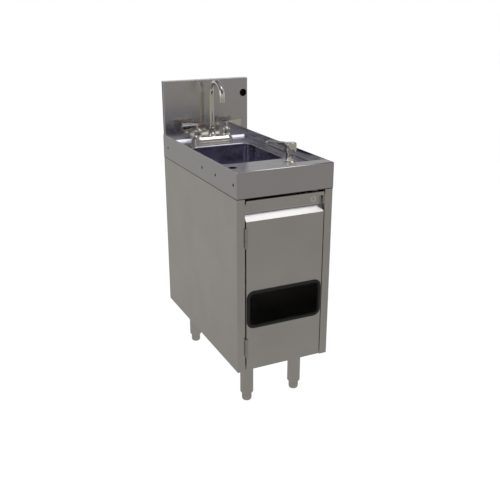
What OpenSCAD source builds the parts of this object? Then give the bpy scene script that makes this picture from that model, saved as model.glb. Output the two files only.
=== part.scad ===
// Underbar hand sink: a narrow steel cabinet on legs with a waste door, a sunk deck,
// a bowl, a gooseneck faucet with wrist blades and a soap dispenser.
// The origin is on the floor, under the middle of the unit, with the door towards -Y.

/* [Cabinet] */
// Overall width of the unit
unit_w = 304.8; // [290:1:400]
// Depth from the front face to the wall
unit_d = 609.6; // [600:1:700]
// Height of the cabinet body between the legs and the deck
body_h = 533.4; // [525:1:600]
// Thickness of the steel sheet
sheet = 1.5; // [1.2:0.1:1.8]
// Inside radius of the bends in the sheet
bend_r = 1; // [0.5:0.1:1.5]
// Width of each front post
post_w = 25.4; // [24:0.2:30]
// Depth of each front post
post_d = 25.4; // [24:0.2:30]
// Width of the folded edges inside the cabinet
fold_w = 20; // [16:1:22]
// Height of the turned up edges of the floor
floor_lip = 25.4; // [15:1:40]
// Height of the small front lip of the floor
floor_front_lip = 10; // [5:1:15]
// Depth of the rails under the deck
rail_d = 34; // [25:1:45]
// Drop of the rails under the deck
rail_drop = 15; // [12:0.5:15.5]
// Width of the plumbing opening in the back
plumb_w = 192; // [120:1:220]
// Height of the plumbing opening in the back
plumb_h = 202; // [120:1:220]
// Distance from the top of the body to the plumbing opening
plumb_drop = 54; // [40:1:80]
// Diameter of the small pan head screws
screw_d = 8; // [6:0.5:9]

/* [Deck] */
// Height of the deck apron
apron_h = 76.2; // [72:1:90]
// Depth of the sunk pan below the rim
pan_drop = 25.4; // [22:0.2:30]
// Depth of the raised front ledge
ledge_d = 42; // [30:1:60]
// Radius of the cove at the foot of the pan walls
cove_r = 6; // [4:0.5:6]
// Height and depth of the slanted foot under the splash
splash_foot = 6.5; // [6.5:0.5:10]
// Rounding of the top front edge
nose_r = 3; // [1.5:0.5:4]
// Rounding of the other outer edges
edge_r = 1; // [0.5:0.1:1.2]
// Diameter of the holes that join units side by side
join_hole_d = 9; // [7:0.5:11]
// Drop of the joining holes below the rim
join_hole_drop = 39.3; // [38:0.1:48]
// Distance of the first joining hole from the front
join_hole_1 = 22.5; // [16:0.5:40]
// Distance of the second joining hole from the front
join_hole_2 = 149.6; // [120:0.5:170]
// Distance of the third joining hole from the front
join_hole_3 = 252.5; // [230:0.5:300]
// Distance of the fourth joining hole from the front
join_hole_4 = 563.2; // [500:0.5:575]
// Diameter of the spare hole in the deck
spare_hole_d = 25.4; // [20:0.2:28]
// Distance of the spare hole from the left side
spare_hole_side = 57.4; // [50:0.2:70]
// Distance of the spare hole from the front
spare_hole_y = 155; // [130:1:165]

/* [Splash] */
// Height of the splash above the rim
splash_h = 177.8; // [160:1:260]
// Thickness of the splash
splash_t = 25.4; // [22:0.2:30]
// Depth of the side folds of the splash front
splash_fold = 12; // [8:0.5:14]
// Inset of the splash back below its top lip
splash_inset = 2; // [1:0.5:4]
// Diameter of the hole in the splash
splash_hole_d = 25.4; // [20:0.2:26]
// Distance of the splash hole from the right side
splash_hole_side = 16; // [15.8:0.2:40]
// Distance of the splash hole from the top
splash_hole_drop = 50.5; // [30:0.5:100]
// Width of the slots in the ends of the splash
slot_w = 6; // [4:0.5:7]
// Height of the slots in the ends of the splash
slot_h = 14; // [8:1:20]
// Distance of the upper slot from the top
slot_drop_a = 13.4; // [12:0.2:30]
// Distance of the lower slot from the top
slot_drop_b = 89.4; // [60:0.2:120]

/* [Bowl] */
// Width of the bowl inside
bowl_w = 212; // [180:1:220]
// Distance of the rear wall of the bowl from the back
bowl_rear = 132.6; // [127:0.2:160]
// Depth of the bowl below the deck
bowl_depth = 152.4; // [120:1:200]
// Radius of the bowl corners
bowl_r = 25; // [18:1:40]
// Radius of the rolled lip of the bowl
bowl_lip_r = 5; // [3:0.5:6]
// Distance of the front wall of the bowl from the front
bowl_front = 207; // [205:1:212]

/* [Door] */
// Gap between the door and each post
door_gap = 3; // [2.6:0.1:4]
// Gap under the door
door_gap_low = 2; // [1:0.5:4]
// Gap over the door
door_gap_high = 6; // [3:0.5:8]
// Thickness of the door
door_t = 20; // [18:0.5:22]
// Height of the strip over the finger pull
strip_h = 12.4; // [8:0.2:16]
// Height of the finger pull slot
slot_pull_h = 29.6; // [29:0.2:34]
// Height of the sloping part under the slot
slope_h = 19.4; // [16:0.2:28]
// Radius of the soft bend between the slot and the slope
pull_bend_r = 10; // [4:0.5:10]
// Depth of the return at the top of the door
door_top_return = 10; // [6:0.5:14]
// Distance of the waste opening from each side of the door
waste_side = 10.5; // [10:0.1:30]
// Height of the waste opening inside its trim
waste_h = 100; // [80:1:120]
// Height of the waste opening above the bottom of the body
waste_up = 147.5; // [130:0.5:200]
// Corner radius of the waste opening inside its trim
waste_r = 14; // [10:1:20]
// Width of the rubber trim seen from the front
trim_w = 9.5; // [7:0.5:10]
// How far the rubber trim stands out of the door
trim_out = 2.5; // [1.5:0.1:4]

/* [Hinges] */
// Height of each hinge
hinge_h = 56; // [40:1:70]
// Middle of the lower hinge above the bottom of the body
hinge_low = 79.6; // [60:0.2:100]
// Middle of the upper hinge above the bottom of the body
hinge_high = 420.3; // [380:0.1:425]
// Radius of the hinge knuckles
knuckle_r = 4.6; // [4.2:0.1:6]
// Radius of the hinge pins
hinge_pin_r = 2.5; // [2:0.1:3]
// Depth of the hinge leaves behind the face
leaf_d = 17; // [12:0.5:17.5]

/* [Lock] */
// Distance of the lock from the right side of the unit
lock_side = 55.4; // [45:0.2:70]
// Distance of the lock from the top of the body
lock_drop = 31; // [30:0.1:33]
// Diameter of the lock face
lock_face_d = 20; // [17:0.5:22]
// Diameter of the threaded lock body
lock_d = 16; // [14:0.5:17]
// Reach of the cam from the lock axis
cam_reach = 25; // [24:0.5:27]

/* [Legs] */
// Height of the legs
leg_h = 152.4; // [140:1:170]
// Diameter of the leg tubes
leg_d = 41.3; // [38:0.1:45]
// Wall of the leg tubes
leg_wall = 1.6; // [1.2:0.1:2]
// Distance of the leg axes from the sides
leg_side = 68.3; // [62:0.1:72]
// Distance of the front leg axes from the front
leg_front = 84.3; // [76:0.1:100]
// Distance of the rear leg axes from the back
leg_rear = 77.5; // [60:0.1:100]
// Side of the square leg plates
leg_plate_w = 76; // [60:1:80]
// Thickness of the leg plates
leg_plate_t = 3; // [2.5:0.1:4]
// Diameter of the feet
foot_d = 31; // [26:0.5:34]
// Height of the foot below the tube
foot_h = 27.6; // [22:0.2:34]
// Diameter of the flat under the foot
foot_flat_d = 22; // [16:0.5:24]
// How far the foot can be screwed out
foot_travel = 25; // [15:1:30]

/* [Faucet] */
// Distance from the faucet axis to the splash
faucet_back = 42.2; // [40:0.2:44]
// Distance between the two valves
valve_pitch = 101.6; // [98:0.2:104]
// Distance from each valve axis to the end of the faucet base
base_end = 24.2; // [23:0.2:30]
// Depth of the faucet base
base_d = 48.4; // [46:0.2:56]
// Height of the faucet base at its valves
base_h = 27.5; // [26.5:0.5:32]
// Height of the faucet base between its valves
bridge_h = 19.5; // [18:0.5:22]
// Height of the plinth of the base
plinth_h = 4.5; // [4:0.5:8]
// Diameter of the spout tube
spout_d = 17.5; // [16:0.1:18]
// Wall of the spout tube
spout_wall = 1.2; // [1:0.1:1.6]
// Radius of the spout bend at the middle of the tube
spout_bend_r = 46; // [40:1:52]
// Height of the middle of the bend above the deck
spout_bend_up = 155.8; // [140:0.2:200]
// Height of the spout outlet above the deck
outlet_up = 143.8; // [110:0.2:146]
// Diameter of the outlet sleeve
sleeve_d = 19.4; // [19:0.1:21]
// Height of the spout nut above the base
nut_h = 21; // [18:0.5:24]
// Reach of each wrist blade from the valve axis
blade_l = 57; // [50:1:70]
// Height of the blade at its tip
blade_tip_h = 23; // [16:0.5:26]
// Height of the blade at its root
blade_root_h = 12; // [8:0.5:14]
// Thickness of the blade
blade_t = 4.5; // [3:0.1:6]
// Diameter of the coloured caps
cap_d = 16.5; // [15:0.5:20]
// Diameter of the handle skirt
skirt_d = 32; // [30:0.5:34]

/* [Soap dispenser] */
// Distance of the dispenser from the right side
soap_side = 58.9; // [54:0.2:66]
// Distance of the dispenser from the front
soap_y = 152; // [140:1:155]
// Diameter of the dispenser flange
soap_flange_d = 41.5; // [38:0.5:46]
// Diameter of the dispenser collar
soap_collar_d = 27; // [25:0.5:28]
// Diameter of the pump head
soap_head_d = 36; // [34:0.5:38]
// Height of the pump head above the deck
soap_top = 59; // [57:0.5:64]
// Travel of the pump
soap_travel = 16; // [10:1:17]
// Reach of the pump spout from its axis
soap_reach = 82; // [70:1:90]
// Turn of the pump spout away from the right side
soap_turn = 124; // [110:1:150]
// Diameter of the soap bottle
bottle_d = 64; // [50:1:70]
// Length of the soap bottle
bottle_l = 130; // [90:1:150]

/* [Drain] */
// Diameter of the drain flange
drain_flange_d = 70; // [60:1:76]
// Diameter of the drain body
drain_d = 44; // [40:1:46]
// Length of the drain body below the bowl
drain_l = 40; // [32:1:50]
// Diameter of the tailpiece
tail_d = 38.1; // [36:0.1:38.4]
// Length of the tailpiece below the drain body
tail_drop = 90; // [60:1:110]

/* [Hidden] */

$fn = 48;
eps = 0.01;
// Running clearance of a shaft in its bore
run_fit = 0.05;
// Clearance between pieces that pass each other
pass_gap = 0.4;
// Length of the tools that cut through one wall
through = 10;

// Colours as the photograph shows them
steel_col = [0.50, 0.49, 0.47];
chrome_col = [0.72, 0.71, 0.66];
black_col = [0.05, 0.05, 0.05];
bowl_col = [0.35, 0.35, 0.42];
plastic_col = [0.85, 0.85, 0.82];
brass_col = [0.72, 0.60, 0.35];
red_col = [0.75, 0.20, 0.20];
blue_col = [0.20, 0.32, 0.72];

// Main planes
post_play = 0.5;
knuckle_clear = 0.3;
pin_out = knuckle_r + knuckle_clear;
hinge_proud = pin_out + knuckle_r;
face_y = (hinge_proud - unit_d) / 2;
wall_y = face_y + unit_d;
half_w = unit_w / 2;
in_x = half_w - sheet;
body_z = leg_h;
body_top = leg_h + body_h;
rim_z = body_top + apron_h;
deck_z = rim_z - pan_drop;
splash_y = wall_y - splash_t;
cover_y = wall_y - splash_inset;
splash_top = rim_z + splash_h;
under_deck = deck_z - sheet;

// Cleats and rivets of the splash
cleat_x = 95;
cleat_w = 16;
cleat_low = rim_z + 5;
cleat_high = splash_top - 10;
rivet_d = 4;
rivet_head_t = splash_inset - 0.2;
rivet_end = 25;
rivet_zs = [rim_z + rivet_end, splash_top - rivet_end];

// Pan of the deck
rim_w = 2 * sheet;
tray_w = unit_w - 2 * rim_w;
tray_l = unit_d - ledge_d - splash_t;
tray_y = face_y + ledge_d + tray_l / 2;

// Bowl
bowl_l = unit_d - bowl_front - bowl_rear;
bowl_y = face_y + bowl_front + bowl_l / 2;
bowl_floor = deck_z - bowl_depth;

// Door
door_w = unit_w - 2 * post_w - 2 * door_gap;
door_z = body_z + door_gap_low;
door_top = body_top - door_gap_high;
pull_top = door_top - strip_h;
pull_low = pull_top - slot_pull_h;
slope_low = pull_low - slope_h;
door_fold = door_t - 1;
waste_w = door_w - 2 * waste_side;
waste_z = body_z + waste_up + waste_h / 2;
trim_lap = 2.5;
hole_w = waste_w + 2 * trim_lap;
hole_h = waste_h + 2 * trim_lap;
hole_r = waste_r + trim_lap;
trim_back_w = 6;
trim_back_t = 2.5;

// Hinges
hinge_x = -half_w + post_w + door_gap / 2;
hinge_y = face_y - pin_out;
knuckle_gap = 0.4;
knuckle_h = (hinge_h - 2 * knuckle_gap) / 3;
pin_head_h = 1.6;
pin_head_in = 0.8;
leaf_set = 0.2;

// Lock
lock_x = half_w - lock_side;
lock_z = body_top - lock_drop;
lock_face_y = face_y + door_t;
lock_face_t = 3;
lock_behind = 17.5;
lock_plug_d = 11;
cam_post_d = lock_plug_d - 4;
key_w = 1.6;
key_l = 7;
key_deep = 12;
plug_proud = 0.6;
cam_t = 2;
cam_w = 14;
nut_t = 4;

// Rails
rail_front_y = lock_face_y + lock_behind - pass_gap - 2 * sheet;

// Legs
leg_x = half_w - leg_side;
leg_places = [
    [-leg_x, face_y + leg_front], [leg_x, face_y + leg_front],
    [-leg_x, wall_y - leg_rear], [leg_x, wall_y - leg_rear]
];
plate_low = body_z + sheet - leg_plate_t;
spigot_l = 30;
spigot_wall = 3;
stem_d = 16;
stem_stay = 35;
stem_l = foot_travel + stem_stay;
plug_h = 14;
shoulder_r = 3;
foot_round = 8;

// Faucet
faucet_y = splash_y - faucet_back;
valve_x = valve_pitch / 2;
base_groove = 1.8;
base_l = valve_pitch + 2 * base_end;
base_corner = base_d / 2 - 0.5;
base_foot = 5;
base_side_slope = 6.5;
base_top = deck_z + base_h;
base_wall = 4;
tower_d = 26.8;
tower_foot_d = 37;
base_thin = 1;
water_bore = 8;
water_z = deck_z + bridge_h / 2;
shank_d = 20.6;
shank_l = 52;
inlet_d = 20;
inlet_l = 22;
shank_bore = 12;
shank_hole_d = 26;
faucet_nut_d = 36;
faucet_nut_h = 12;
valve_d = 24.6;
valve_low_h = 5;
valve_neck_d = 22;
valve_neck_h = 5;
valve_seat = 8;
stem_drop = 6;
handle_roof = 4;
skirt_rim = 3;
skirt_hollow = 6;
stem_pin_d = 8;
skirt_low = base_top + valve_low_h + 4.5;
skirt_h = 11.5;
neck_d = 11.5;
neck_rise = 39;
neck_top = base_top + neck_rise;
cap_h = 2.6;
blade_top = neck_top + 2.5;
blade_gap = 3;
blade_start = 2.7;
cap_play = 1;
nut_floor = 4;
tube_low = base_top + nut_floor;
bend_z = deck_z + spout_bend_up;
outlet_z = deck_z + outlet_up;
sleeve_h = 13;

// Soap dispenser
soap_x = half_w - soap_side;
soap_axis_y = face_y + soap_y;
flange_h = 4;
flange_edge_h = 1.5;
collar_top = 32;
head_low = collar_top - 2;
shank_soap_d = 24;
shank_soap_l = 45;
soap_hole_d = shank_soap_d + 2;
soap_nut_w = 36;
soap_nut_h = 8;
cyl_d = 15;
cyl_bore = 10;
cyl_guide_h = 6;
cyl_floor_t = 3;
cyl_cap_t = 1.5;
rod_d = 6;
rod_socket = 3;
piston_h = 8;
piston_z = collar_top - cyl_guide_h - piston_h;
spring_room = 19;
cyl_low = piston_z - soap_travel - spring_room - cyl_floor_t;
head_hollow_top = collar_top + cyl_cap_t + soap_travel + 2;
head_round = 3;
head_edge = 0.6;
spring_d = 8;
spring_wire = 1.2;
spring_play = 0.2;
spring_turns = 9;
soap_spout_d = 6;
soap_spout_bore = 3.5;
soap_spout_up = soap_top - soap_spout_d / 2;
tip_r = 8;
tip_h = 5.5;
bottle_wall = 1.6;
bottle_neck_top = -16;
bottle_neck_h = 16;
bottle_slope = 4;
bottle_turn = 8;
bottle_foot = 5;
dip_d = 6;
dip_wall = 1;
dip_stay = 2;

// Drain
drain_lip_t = 2;
drain_edge_t = 0.6;
drain_play = 1;
drain_bore = drain_d - 6;
strainer_t = 1.5;
strainer_hole_d = 4.2;
strainer_pitch = 6.2;
gasket_t = 3;
gasket_inset = 3;
drain_nut_t = 10;
drain_nut_lap = 14;
drain_nut_w = drain_d + drain_nut_lap;
tail_wall = 1.5;
tail_flange_t = 2;
tail_collar_d = tail_d + 1.2;
tail_collar_l = 12;
tail_nut_h = 18;
tail_nut_low = 6;
tail_nut_floor = 4;
tail_nut_t = 6;
strainer_drop = 3;

// Small helpers
function unit(v) = v / norm(v);
function left_of(v) = [-v.y, v.x];
function turned(v, a) = [v.x * cos(a) - v.y * sin(a), v.x * sin(a) + v.y * cos(a)];

// Points of one bend in a sheet, at a depth under its face, with the radius of its hollow side
function bend_run(p, i, depth, r = bend_r) =
    let (d1 = unit(p[i] - p[i - 1]), d2 = unit(p[i + 1] - p[i]))
    let (turn = atan2(cross(d1, d2), d1 * d2))
    let (rho = turn > 0 ? r + sheet : -r, steps = max(4, ceil(r)))
    let (start = p[i] - d1 * abs(rho) * tan(abs(turn) / 2))
    let (centre = start + left_of(d1) * rho)
    [for (k = [0:steps]) centre - turned(left_of(d1), turn * k / steps) * (rho - depth)];

// Outline of a bent sheet from the corner points of its face, with the steel on the left of the way,
// where one corner can have a softer bend than the rest
function sheet_outline(p, soft = 0, soft_r = bend_r) =
    let (n = len(p) - 1)
    let (first = left_of(unit(p[1] - p[0])) * sheet, last = left_of(unit(p[n] - p[n - 1])) * sheet)
    let (rs = [for (i = [0:n]) i == soft ? soft_r : bend_r])
    let (face_bends = [for (i = [1:n - 1]) each bend_run(p, i, 0, rs[i])])
    let (back_bends = [for (i = [1:n - 1]) each bend_run(p, i, sheet, rs[i])])
    let (face = concat([p[0]], face_bends, [p[n]]))
    let (back = concat([p[0] + first], back_bends, [p[n] + last]))
    concat(face, [for (i = [len(back) - 1:-1:0]) back[i]]);

// Box between two corners
module box(a, b) {
    translate(a) cube(b - a);
}

// Rectangle with round corners, centred
module round_rect(w, l, r) {
    square([w - 2 * r, l], center = true);
    square([w, l - 2 * r], center = true);
    for (sx = [-1, 1], sy = [-1, 1]) {
        translate([sx * (w / 2 - r), sy * (l / 2 - r)]) circle(r);
    }
}

// Rectangle standing on its base, with its upper and lower corners rounded apart
module card(w, h, r_top, r_low) {
    hw = w / 2;
    translate([-hw, r_low]) square([w, h - r_low - r_top]);
    translate([-hw + r_low, 0]) square([w - 2 * r_low, h / 2]);
    translate([-hw + r_top, h / 2]) square([w - 2 * r_top, h / 2]);
    for (s = [-1, 1]) {
        translate([s * (hw - r_low), r_low]) circle(r_low);
        translate([s * (hw - r_top), h - r_top]) circle(r_top);
    }
}

// Solid from a drawing in X and Z, run along Y and centred
module along_y(l) {
    translate([0, l / 2, 0]) rotate([90, 0, 0]) linear_extrude(l) children();
}

// Solid from a drawing in Y and Z, run along X and centred
module along_x(w) {
    translate([-w / 2, 0, 0]) rotate([90, 0, 90]) linear_extrude(w) children();
}

// Open pan form with rounded bottom edges, standing on its bottom
module trough(w, l, h, r) {
    intersection() {
        along_y(l) card(w, h, eps, r);
        along_x(w) card(l, h, eps, r);
    }
}

// Profile swept round a rectangle with round corners; the profile's X points outwards
module ring_sweep(w, l, r) {
    for (k = [0:3]) {
        long = k % 2 == 0 ? w : l;
        wide = k % 2 == 0 ? l : w;
        rotate([0, 0, 90 * k]) {
            translate([-(long / 2 - r), -(wide / 2 - r), 0]) rotate([0, 0, 180])
                rotate_extrude(angle = 90) translate([r, 0]) children();
            translate([-(long / 2 - r), -wide / 2, 0]) rotate([90, 0, 90])
                linear_extrude(long - 2 * r) mirror([1, 0]) children();
        }
    }
}

// Hexagonal nut with a round bore
module hex_nut(across, bore, h) {
    difference() {
        cylinder(r = across / 2 / cos(30), h = h, $fn = 6);
        translate([0, 0, -1]) cylinder(d = bore, h = h + 2);
    }
}

// Pan head screw with its head towards +Z
module pan_screw(l) {
    cylinder(d = screw_d, h = screw_head_h);
    translate([0, 0, -l]) cylinder(d = screw_d / 2, h = l + eps);
}

// Cabinet
module side_panel() {
    intersection() {
        union() {
            translate([0, 0, body_z]) linear_extrude(body_h) polygon(sheet_outline([
                [-half_w + fold_w, wall_y], [-half_w, wall_y], [-half_w, face_y],
                [-half_w + post_w, face_y], [-half_w + post_w, face_y + post_d]
            ]));
            box([-in_x - eps, face_y + 1, body_z], [-half_w + fold_w, wall_y - 1, body_z + sheet]);
            box([-in_x - eps, face_y + 1, body_top - sheet], [-half_w + fold_w, wall_y - 1, body_top]);
            box([-in_x - eps, face_y + 1, body_top - sheet],
                [-half_w + post_w - post_play, face_y + post_d, body_top]);
        }
        translate([0, face_y + unit_d / 2, body_z]) along_x(unit_w) card(unit_d, body_h, nose_r, edge_r);
        translate([0, 0, body_z]) along_y(2 * unit_d) card(unit_w, body_h, edge_r, edge_r);
    }
}

module left_side_panel() {
    color(steel_col) side_panel();
}

module right_side_panel() {
    color(steel_col) mirror([1, 0, 0]) side_panel();
}

floor_y = face_y + post_d + post_play;
floor_end = wall_y - 2 * sheet;

module floor_panel() {
    z = body_z + sheet;
    color(steel_col) {
        box([-in_x, floor_y, z], [in_x, floor_end, z + sheet]);
        box([-in_x, floor_y, z], [-in_x + sheet, floor_end, z + floor_lip]);
        box([in_x - sheet, floor_y, z], [in_x, floor_end, z + floor_lip]);
        box([-in_x, floor_end - sheet, z], [in_x, floor_end, z + floor_lip]);
        box([-in_x, floor_y, z], [in_x, floor_y + sheet, z + floor_front_lip]);
    }
}

back_low = body_z + sheet;
back_top = body_top - sheet;
plumb_z = back_top - plumb_drop - plumb_h / 2;
plumb_r = 5;
screw_head_h = 2.4;
back_screw_x = half_w - fold_w / 2;
back_screw_end = 40;
back_screw_zs = [back_low + back_screw_end, (back_low + back_top) / 2, back_top - back_screw_end];

module back_panel() {
    color(steel_col) difference() {
        box([-in_x + bend_r, floor_end, back_low], [in_x - bend_r, wall_y - sheet, back_top]);
        translate([0, wall_y, plumb_z]) rotate([90, 0, 0])
            linear_extrude(through, center = true) round_rect(plumb_w, plumb_h, plumb_r);
        for (s = [-1, 1], z = back_screw_zs) {
            translate([s * back_screw_x, wall_y, z]) rotate([90, 0, 0])
                cylinder(d = screw_d / 2, h = 2 * through, center = true);
        }
    }
}

// The screws hold the back panel from inside, into the rear folds
module back_screws() {
    color(chrome_col) for (s = [-1, 1], z = back_screw_zs) {
        translate([s * back_screw_x, floor_end, z]) rotate([90, 0, 0]) pan_screw(sheet);
    }
}

// An angle across the body, with its drop along the front edge
module rail(front) {
    z = body_top - sheet;
    box([-in_x, front, z - sheet], [in_x, front + rail_d, z]);
    box([-in_x, front, z - rail_drop], [in_x, front + sheet, z]);
}

module rails() {
    color(steel_col) {
        rail(rail_front_y);
        rail(floor_end - rail_d);
    }
}

// Deck
module deck_box() {
    difference() {
        intersection() {
            translate([0, face_y + unit_d / 2, body_top]) along_x(unit_w) {
                card(unit_d, apron_h, nose_r, edge_r);
                square([unit_d / 2, apron_h]);
            }
            translate([0, face_y + unit_d / 2, body_top]) along_y(unit_d)
                card(unit_w, apron_h, sheet, edge_r);
        }
        box([-in_x, face_y + sheet, body_top + sheet], [in_x, wall_y - sheet, rim_z - sheet]);
        box([-half_w + fold_w, face_y + fold_w, body_top - 1],
            [half_w - fold_w, wall_y - fold_w, body_top + apron_h / 2]);
    }
}

// Room under the slanted foot of the splash, at a depth under its face
module under_slant(depth) {
    drop = depth * sqrt(2);
    past = 3;
    translate([0, splash_y, deck_z]) along_x(unit_w) polygon([
        [drop - splash_foot - past, -past], [past, splash_foot - drop + past], [past, -past]
    ]);
}

module deck_shell() {
    difference() {
        union() {
            deck_box();
            difference() {
                translate([0, tray_y, under_deck])
                    trough(tray_w + rim_w, tray_l + rim_w, pan_drop + sheet, cove_r + sheet);
                under_slant(sheet);
            }
        }
        difference() {
            translate([0, tray_y, deck_z]) trough(tray_w, tray_l, pan_drop + 1, cove_r);
            under_slant(0);
        }
        box([-tray_w / 2, splash_y - splash_foot, deck_z + splash_foot],
            [tray_w / 2, splash_y + sheet, rim_z + 1]);
        translate([0, bowl_y, under_deck - 1]) linear_extrude(sheet + 2)
            round_rect(bowl_w + 2 * bowl_lip_r, bowl_l + 2 * bowl_lip_r, bowl_r + bowl_lip_r);
        translate([-half_w + spare_hole_side, face_y + spare_hole_y, under_deck - 1])
            cylinder(d = spare_hole_d, h = sheet + 2);
        translate([soap_x, soap_axis_y, under_deck - 1]) cylinder(d = soap_hole_d, h = sheet + 2);
        for (s = [-1, 1]) {
            translate([s * valve_x, faucet_y, under_deck - 1]) cylinder(d = shank_hole_d, h = sheet + 2);
        }
        for (y = [join_hole_1, join_hole_2, join_hole_3, join_hole_4]) {
            translate([0, face_y + y, rim_z - join_hole_drop]) rotate([0, 90, 0])
                cylinder(d = join_hole_d, h = unit_w + 2, center = true);
        }
    }
}

// The pan, the front, the sides and the rear are welded along these planes, and the pan has a
// narrow lip on its front upstand
pan_lip = sheet;
pan_front = face_y + ledge_d - sheet - pan_lip;
pan_rear = splash_y + sheet;
lip_top = body_top + sheet;
lip_x = half_w - fold_w;

module deck_cut() {
    color(steel_col) intersection() {
        deck_shell();
        children();
    }
}

// Room of the front or the rear piece, which lies between the sides
module deck_end(y0, y1) {
    box([-in_x, y0, lip_top], [in_x, y1, rim_z + 1]);
    box([-lip_x, y0, body_top - 1], [lip_x, y1, lip_top + eps]);
}

module deck_side() {
    deck_cut() {
        box([-half_w - 1, face_y - 1, body_top - 1], [-in_x, wall_y + 1, rim_z + 1]);
        box([-half_w - 1, face_y - 1, body_top - 1], [-lip_x, wall_y + 1, lip_top]);
    }
}

module deck_pan() {
    deck_cut() box([-in_x, pan_front, under_deck - 1], [in_x, pan_rear, rim_z + 1]);
}

module deck_front() { deck_cut() deck_end(face_y - 1, pan_front); }
module deck_rear() { deck_cut() deck_end(pan_rear, wall_y + 1); }

module deck_sides() {
    deck_side();
    mirror([1, 0, 0]) deck_side();
}

// Body of a drawn bowl, with its upper end open and round lower edges
module bowl_form(grow, top) {
    r = bowl_r + grow;
    cx = bowl_w / 2 - bowl_r;
    cy = bowl_l / 2 - bowl_r;
    low = bowl_floor + bowl_r;
    translate([0, bowl_y, 0]) {
        translate([0, 0, low]) linear_extrude(top - low) round_rect(2 * (cx + r), 2 * (cy + r), r);
        translate([0, 0, low]) {
            for (sx = [-1, 1], sy = [-1, 1]) {
                translate([sx * cx, sy * cy, 0]) sphere(r);
            }
            for (s = [-1, 1]) {
                translate([s * cx, 0, 0]) rotate([90, 0, 0]) cylinder(r = r, h = 2 * cy, center = true);
                translate([0, s * cy, 0]) rotate([0, 90, 0]) cylinder(r = r, h = 2 * cx, center = true);
            }
            translate([-cx, -cy, -r]) cube([2 * cx, 2 * cy, r + 1]);
        }
    }
}

module bowl() {
    lip_w = bowl_w + 2 * bowl_lip_r;
    lip_l = bowl_l + 2 * bowl_lip_r;
    lip_z = deck_z - bowl_lip_r;
    color(bowl_col) difference() {
        union() {
            bowl_form(sheet, lip_z + eps);
            translate([0, bowl_y, lip_z - sheet]) linear_extrude(bowl_lip_r + sheet)
                round_rect(lip_w, lip_l, bowl_r + bowl_lip_r);
        }
        bowl_form(0, lip_z + eps);
        translate([0, bowl_y, lip_z]) difference() {
            linear_extrude(bowl_lip_r + 1)
                round_rect(lip_w - 2 * eps, lip_l - 2 * eps, bowl_r + bowl_lip_r);
            ring_sweep(lip_w, lip_l, bowl_r + bowl_lip_r) circle(bowl_lip_r);
        }
        translate([0, bowl_y, bowl_floor - through / 2]) cylinder(d = drain_d + drain_play, h = through);
    }
}

// Splash
module splash_front() {
    fold_end = splash_y + splash_fold;
    color(steel_col) difference() {
        union() {
            box([-tray_w / 2, splash_y, deck_z + splash_foot], [tray_w / 2, splash_y + sheet, rim_z + 1]);
            difference() {
                translate([0, splash_y + splash_t / 2, rim_z]) intersection() {
                    along_x(unit_w) card(splash_t, splash_h, sheet, eps);
                    along_y(splash_t) card(unit_w, splash_h, edge_r, eps);
                }
                box([-in_x, splash_y + sheet, rim_z - 1], [in_x, wall_y + 1, splash_top - sheet]);
                box([-half_w - 1, fold_end, rim_z - 1], [half_w + 1, wall_y + 1, splash_top - sheet]);
            }
            splash_cleats();
        }
        translate([half_w - splash_hole_side, splash_y, splash_top - splash_hole_drop])
            rotate([90, 0, 0]) cylinder(d = splash_hole_d, h = through, center = true);
        rivet_holes();
    }
}

// Upright strips inside the splash, to which the cover is riveted
module splash_cleats() {
    for (s = [-1, 1]) {
        translate([s * cleat_x, 0, 0]) {
            box([-sheet / 2, splash_y + sheet / 2, cleat_low], [sheet / 2, cover_y - sheet, cleat_high]);
            box([-sheet / 2, cover_y - 2 * sheet, cleat_low], [cleat_w, cover_y - sheet, cleat_high]);
        }
    }
}

module rivet_holes() {
    for (s = [-1, 1], z = rivet_zs) {
        translate([s * cleat_x + cleat_w / 2, cover_y, z]) rotate([90, 0, 0])
            cylinder(d = rivet_d, h = 6 * sheet, center = true);
    }
}

module splash_back() {
    top = splash_top - sheet;
    color(steel_col) difference() {
        box([-in_x, splash_y + 2 * sheet, rim_z], [in_x, cover_y, top]);
        box([-in_x + sheet, splash_y, rim_z - 1], [in_x - sheet, cover_y - sheet, top + 1]);
        for (drop = [slot_drop_a, slot_drop_b]) {
            translate([0, wall_y - slot_w - 1, splash_top - drop]) rotate([90, 0, 90])
                linear_extrude(unit_w, center = true) round_rect(slot_w, slot_h, slot_w / 2 - eps);
        }
        rivet_holes();
    }
}

module splash_rivets() {
    color(steel_col) for (s = [-1, 1], z = rivet_zs) {
        translate([s * cleat_x + cleat_w / 2, cover_y, z]) rotate([-90, 0, 0]) {
            cylinder(d = 2 * rivet_d, h = rivet_head_t);
            translate([0, 0, -2 * sheet]) cylinder(d = rivet_d, h = 2 * sheet + eps);
        }
    }
}

// Legs
module leg_plates() {
    tube_bore = leg_d - 2 * leg_wall;
    color(steel_col) for (p = leg_places) {
        translate([p.x, p.y, plate_low]) {
            translate([-leg_plate_w / 2, -leg_plate_w / 2, 0])
                cube([leg_plate_w, leg_plate_w, leg_plate_t]);
            translate([0, 0, -spigot_l]) difference() {
                cylinder(d = tube_bore - 2 * run_fit, h = spigot_l + eps);
                translate([0, 0, -1]) cylinder(d = tube_bore - 2 * spigot_wall, h = spigot_l + 1);
            }
        }
    }
}

module leg_tube(i) {
    r = leg_d / 2;
    inner = r - leg_wall;
    stem = stem_d / 2 + run_fit;
    sr = shoulder_r;
    color(steel_col) translate([leg_places[i].x, leg_places[i].y, 0]) rotate_extrude()
        polygon(concat(
            [[stem, foot_h]],
            [for (a = [0:15:90]) [r - sr + sr * sin(a), foot_h + sr - sr * cos(a)]],
            [[r, plate_low], [inner, plate_low], [inner, foot_h + plug_h], [stem, foot_h + plug_h]]
        ));
}

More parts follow.
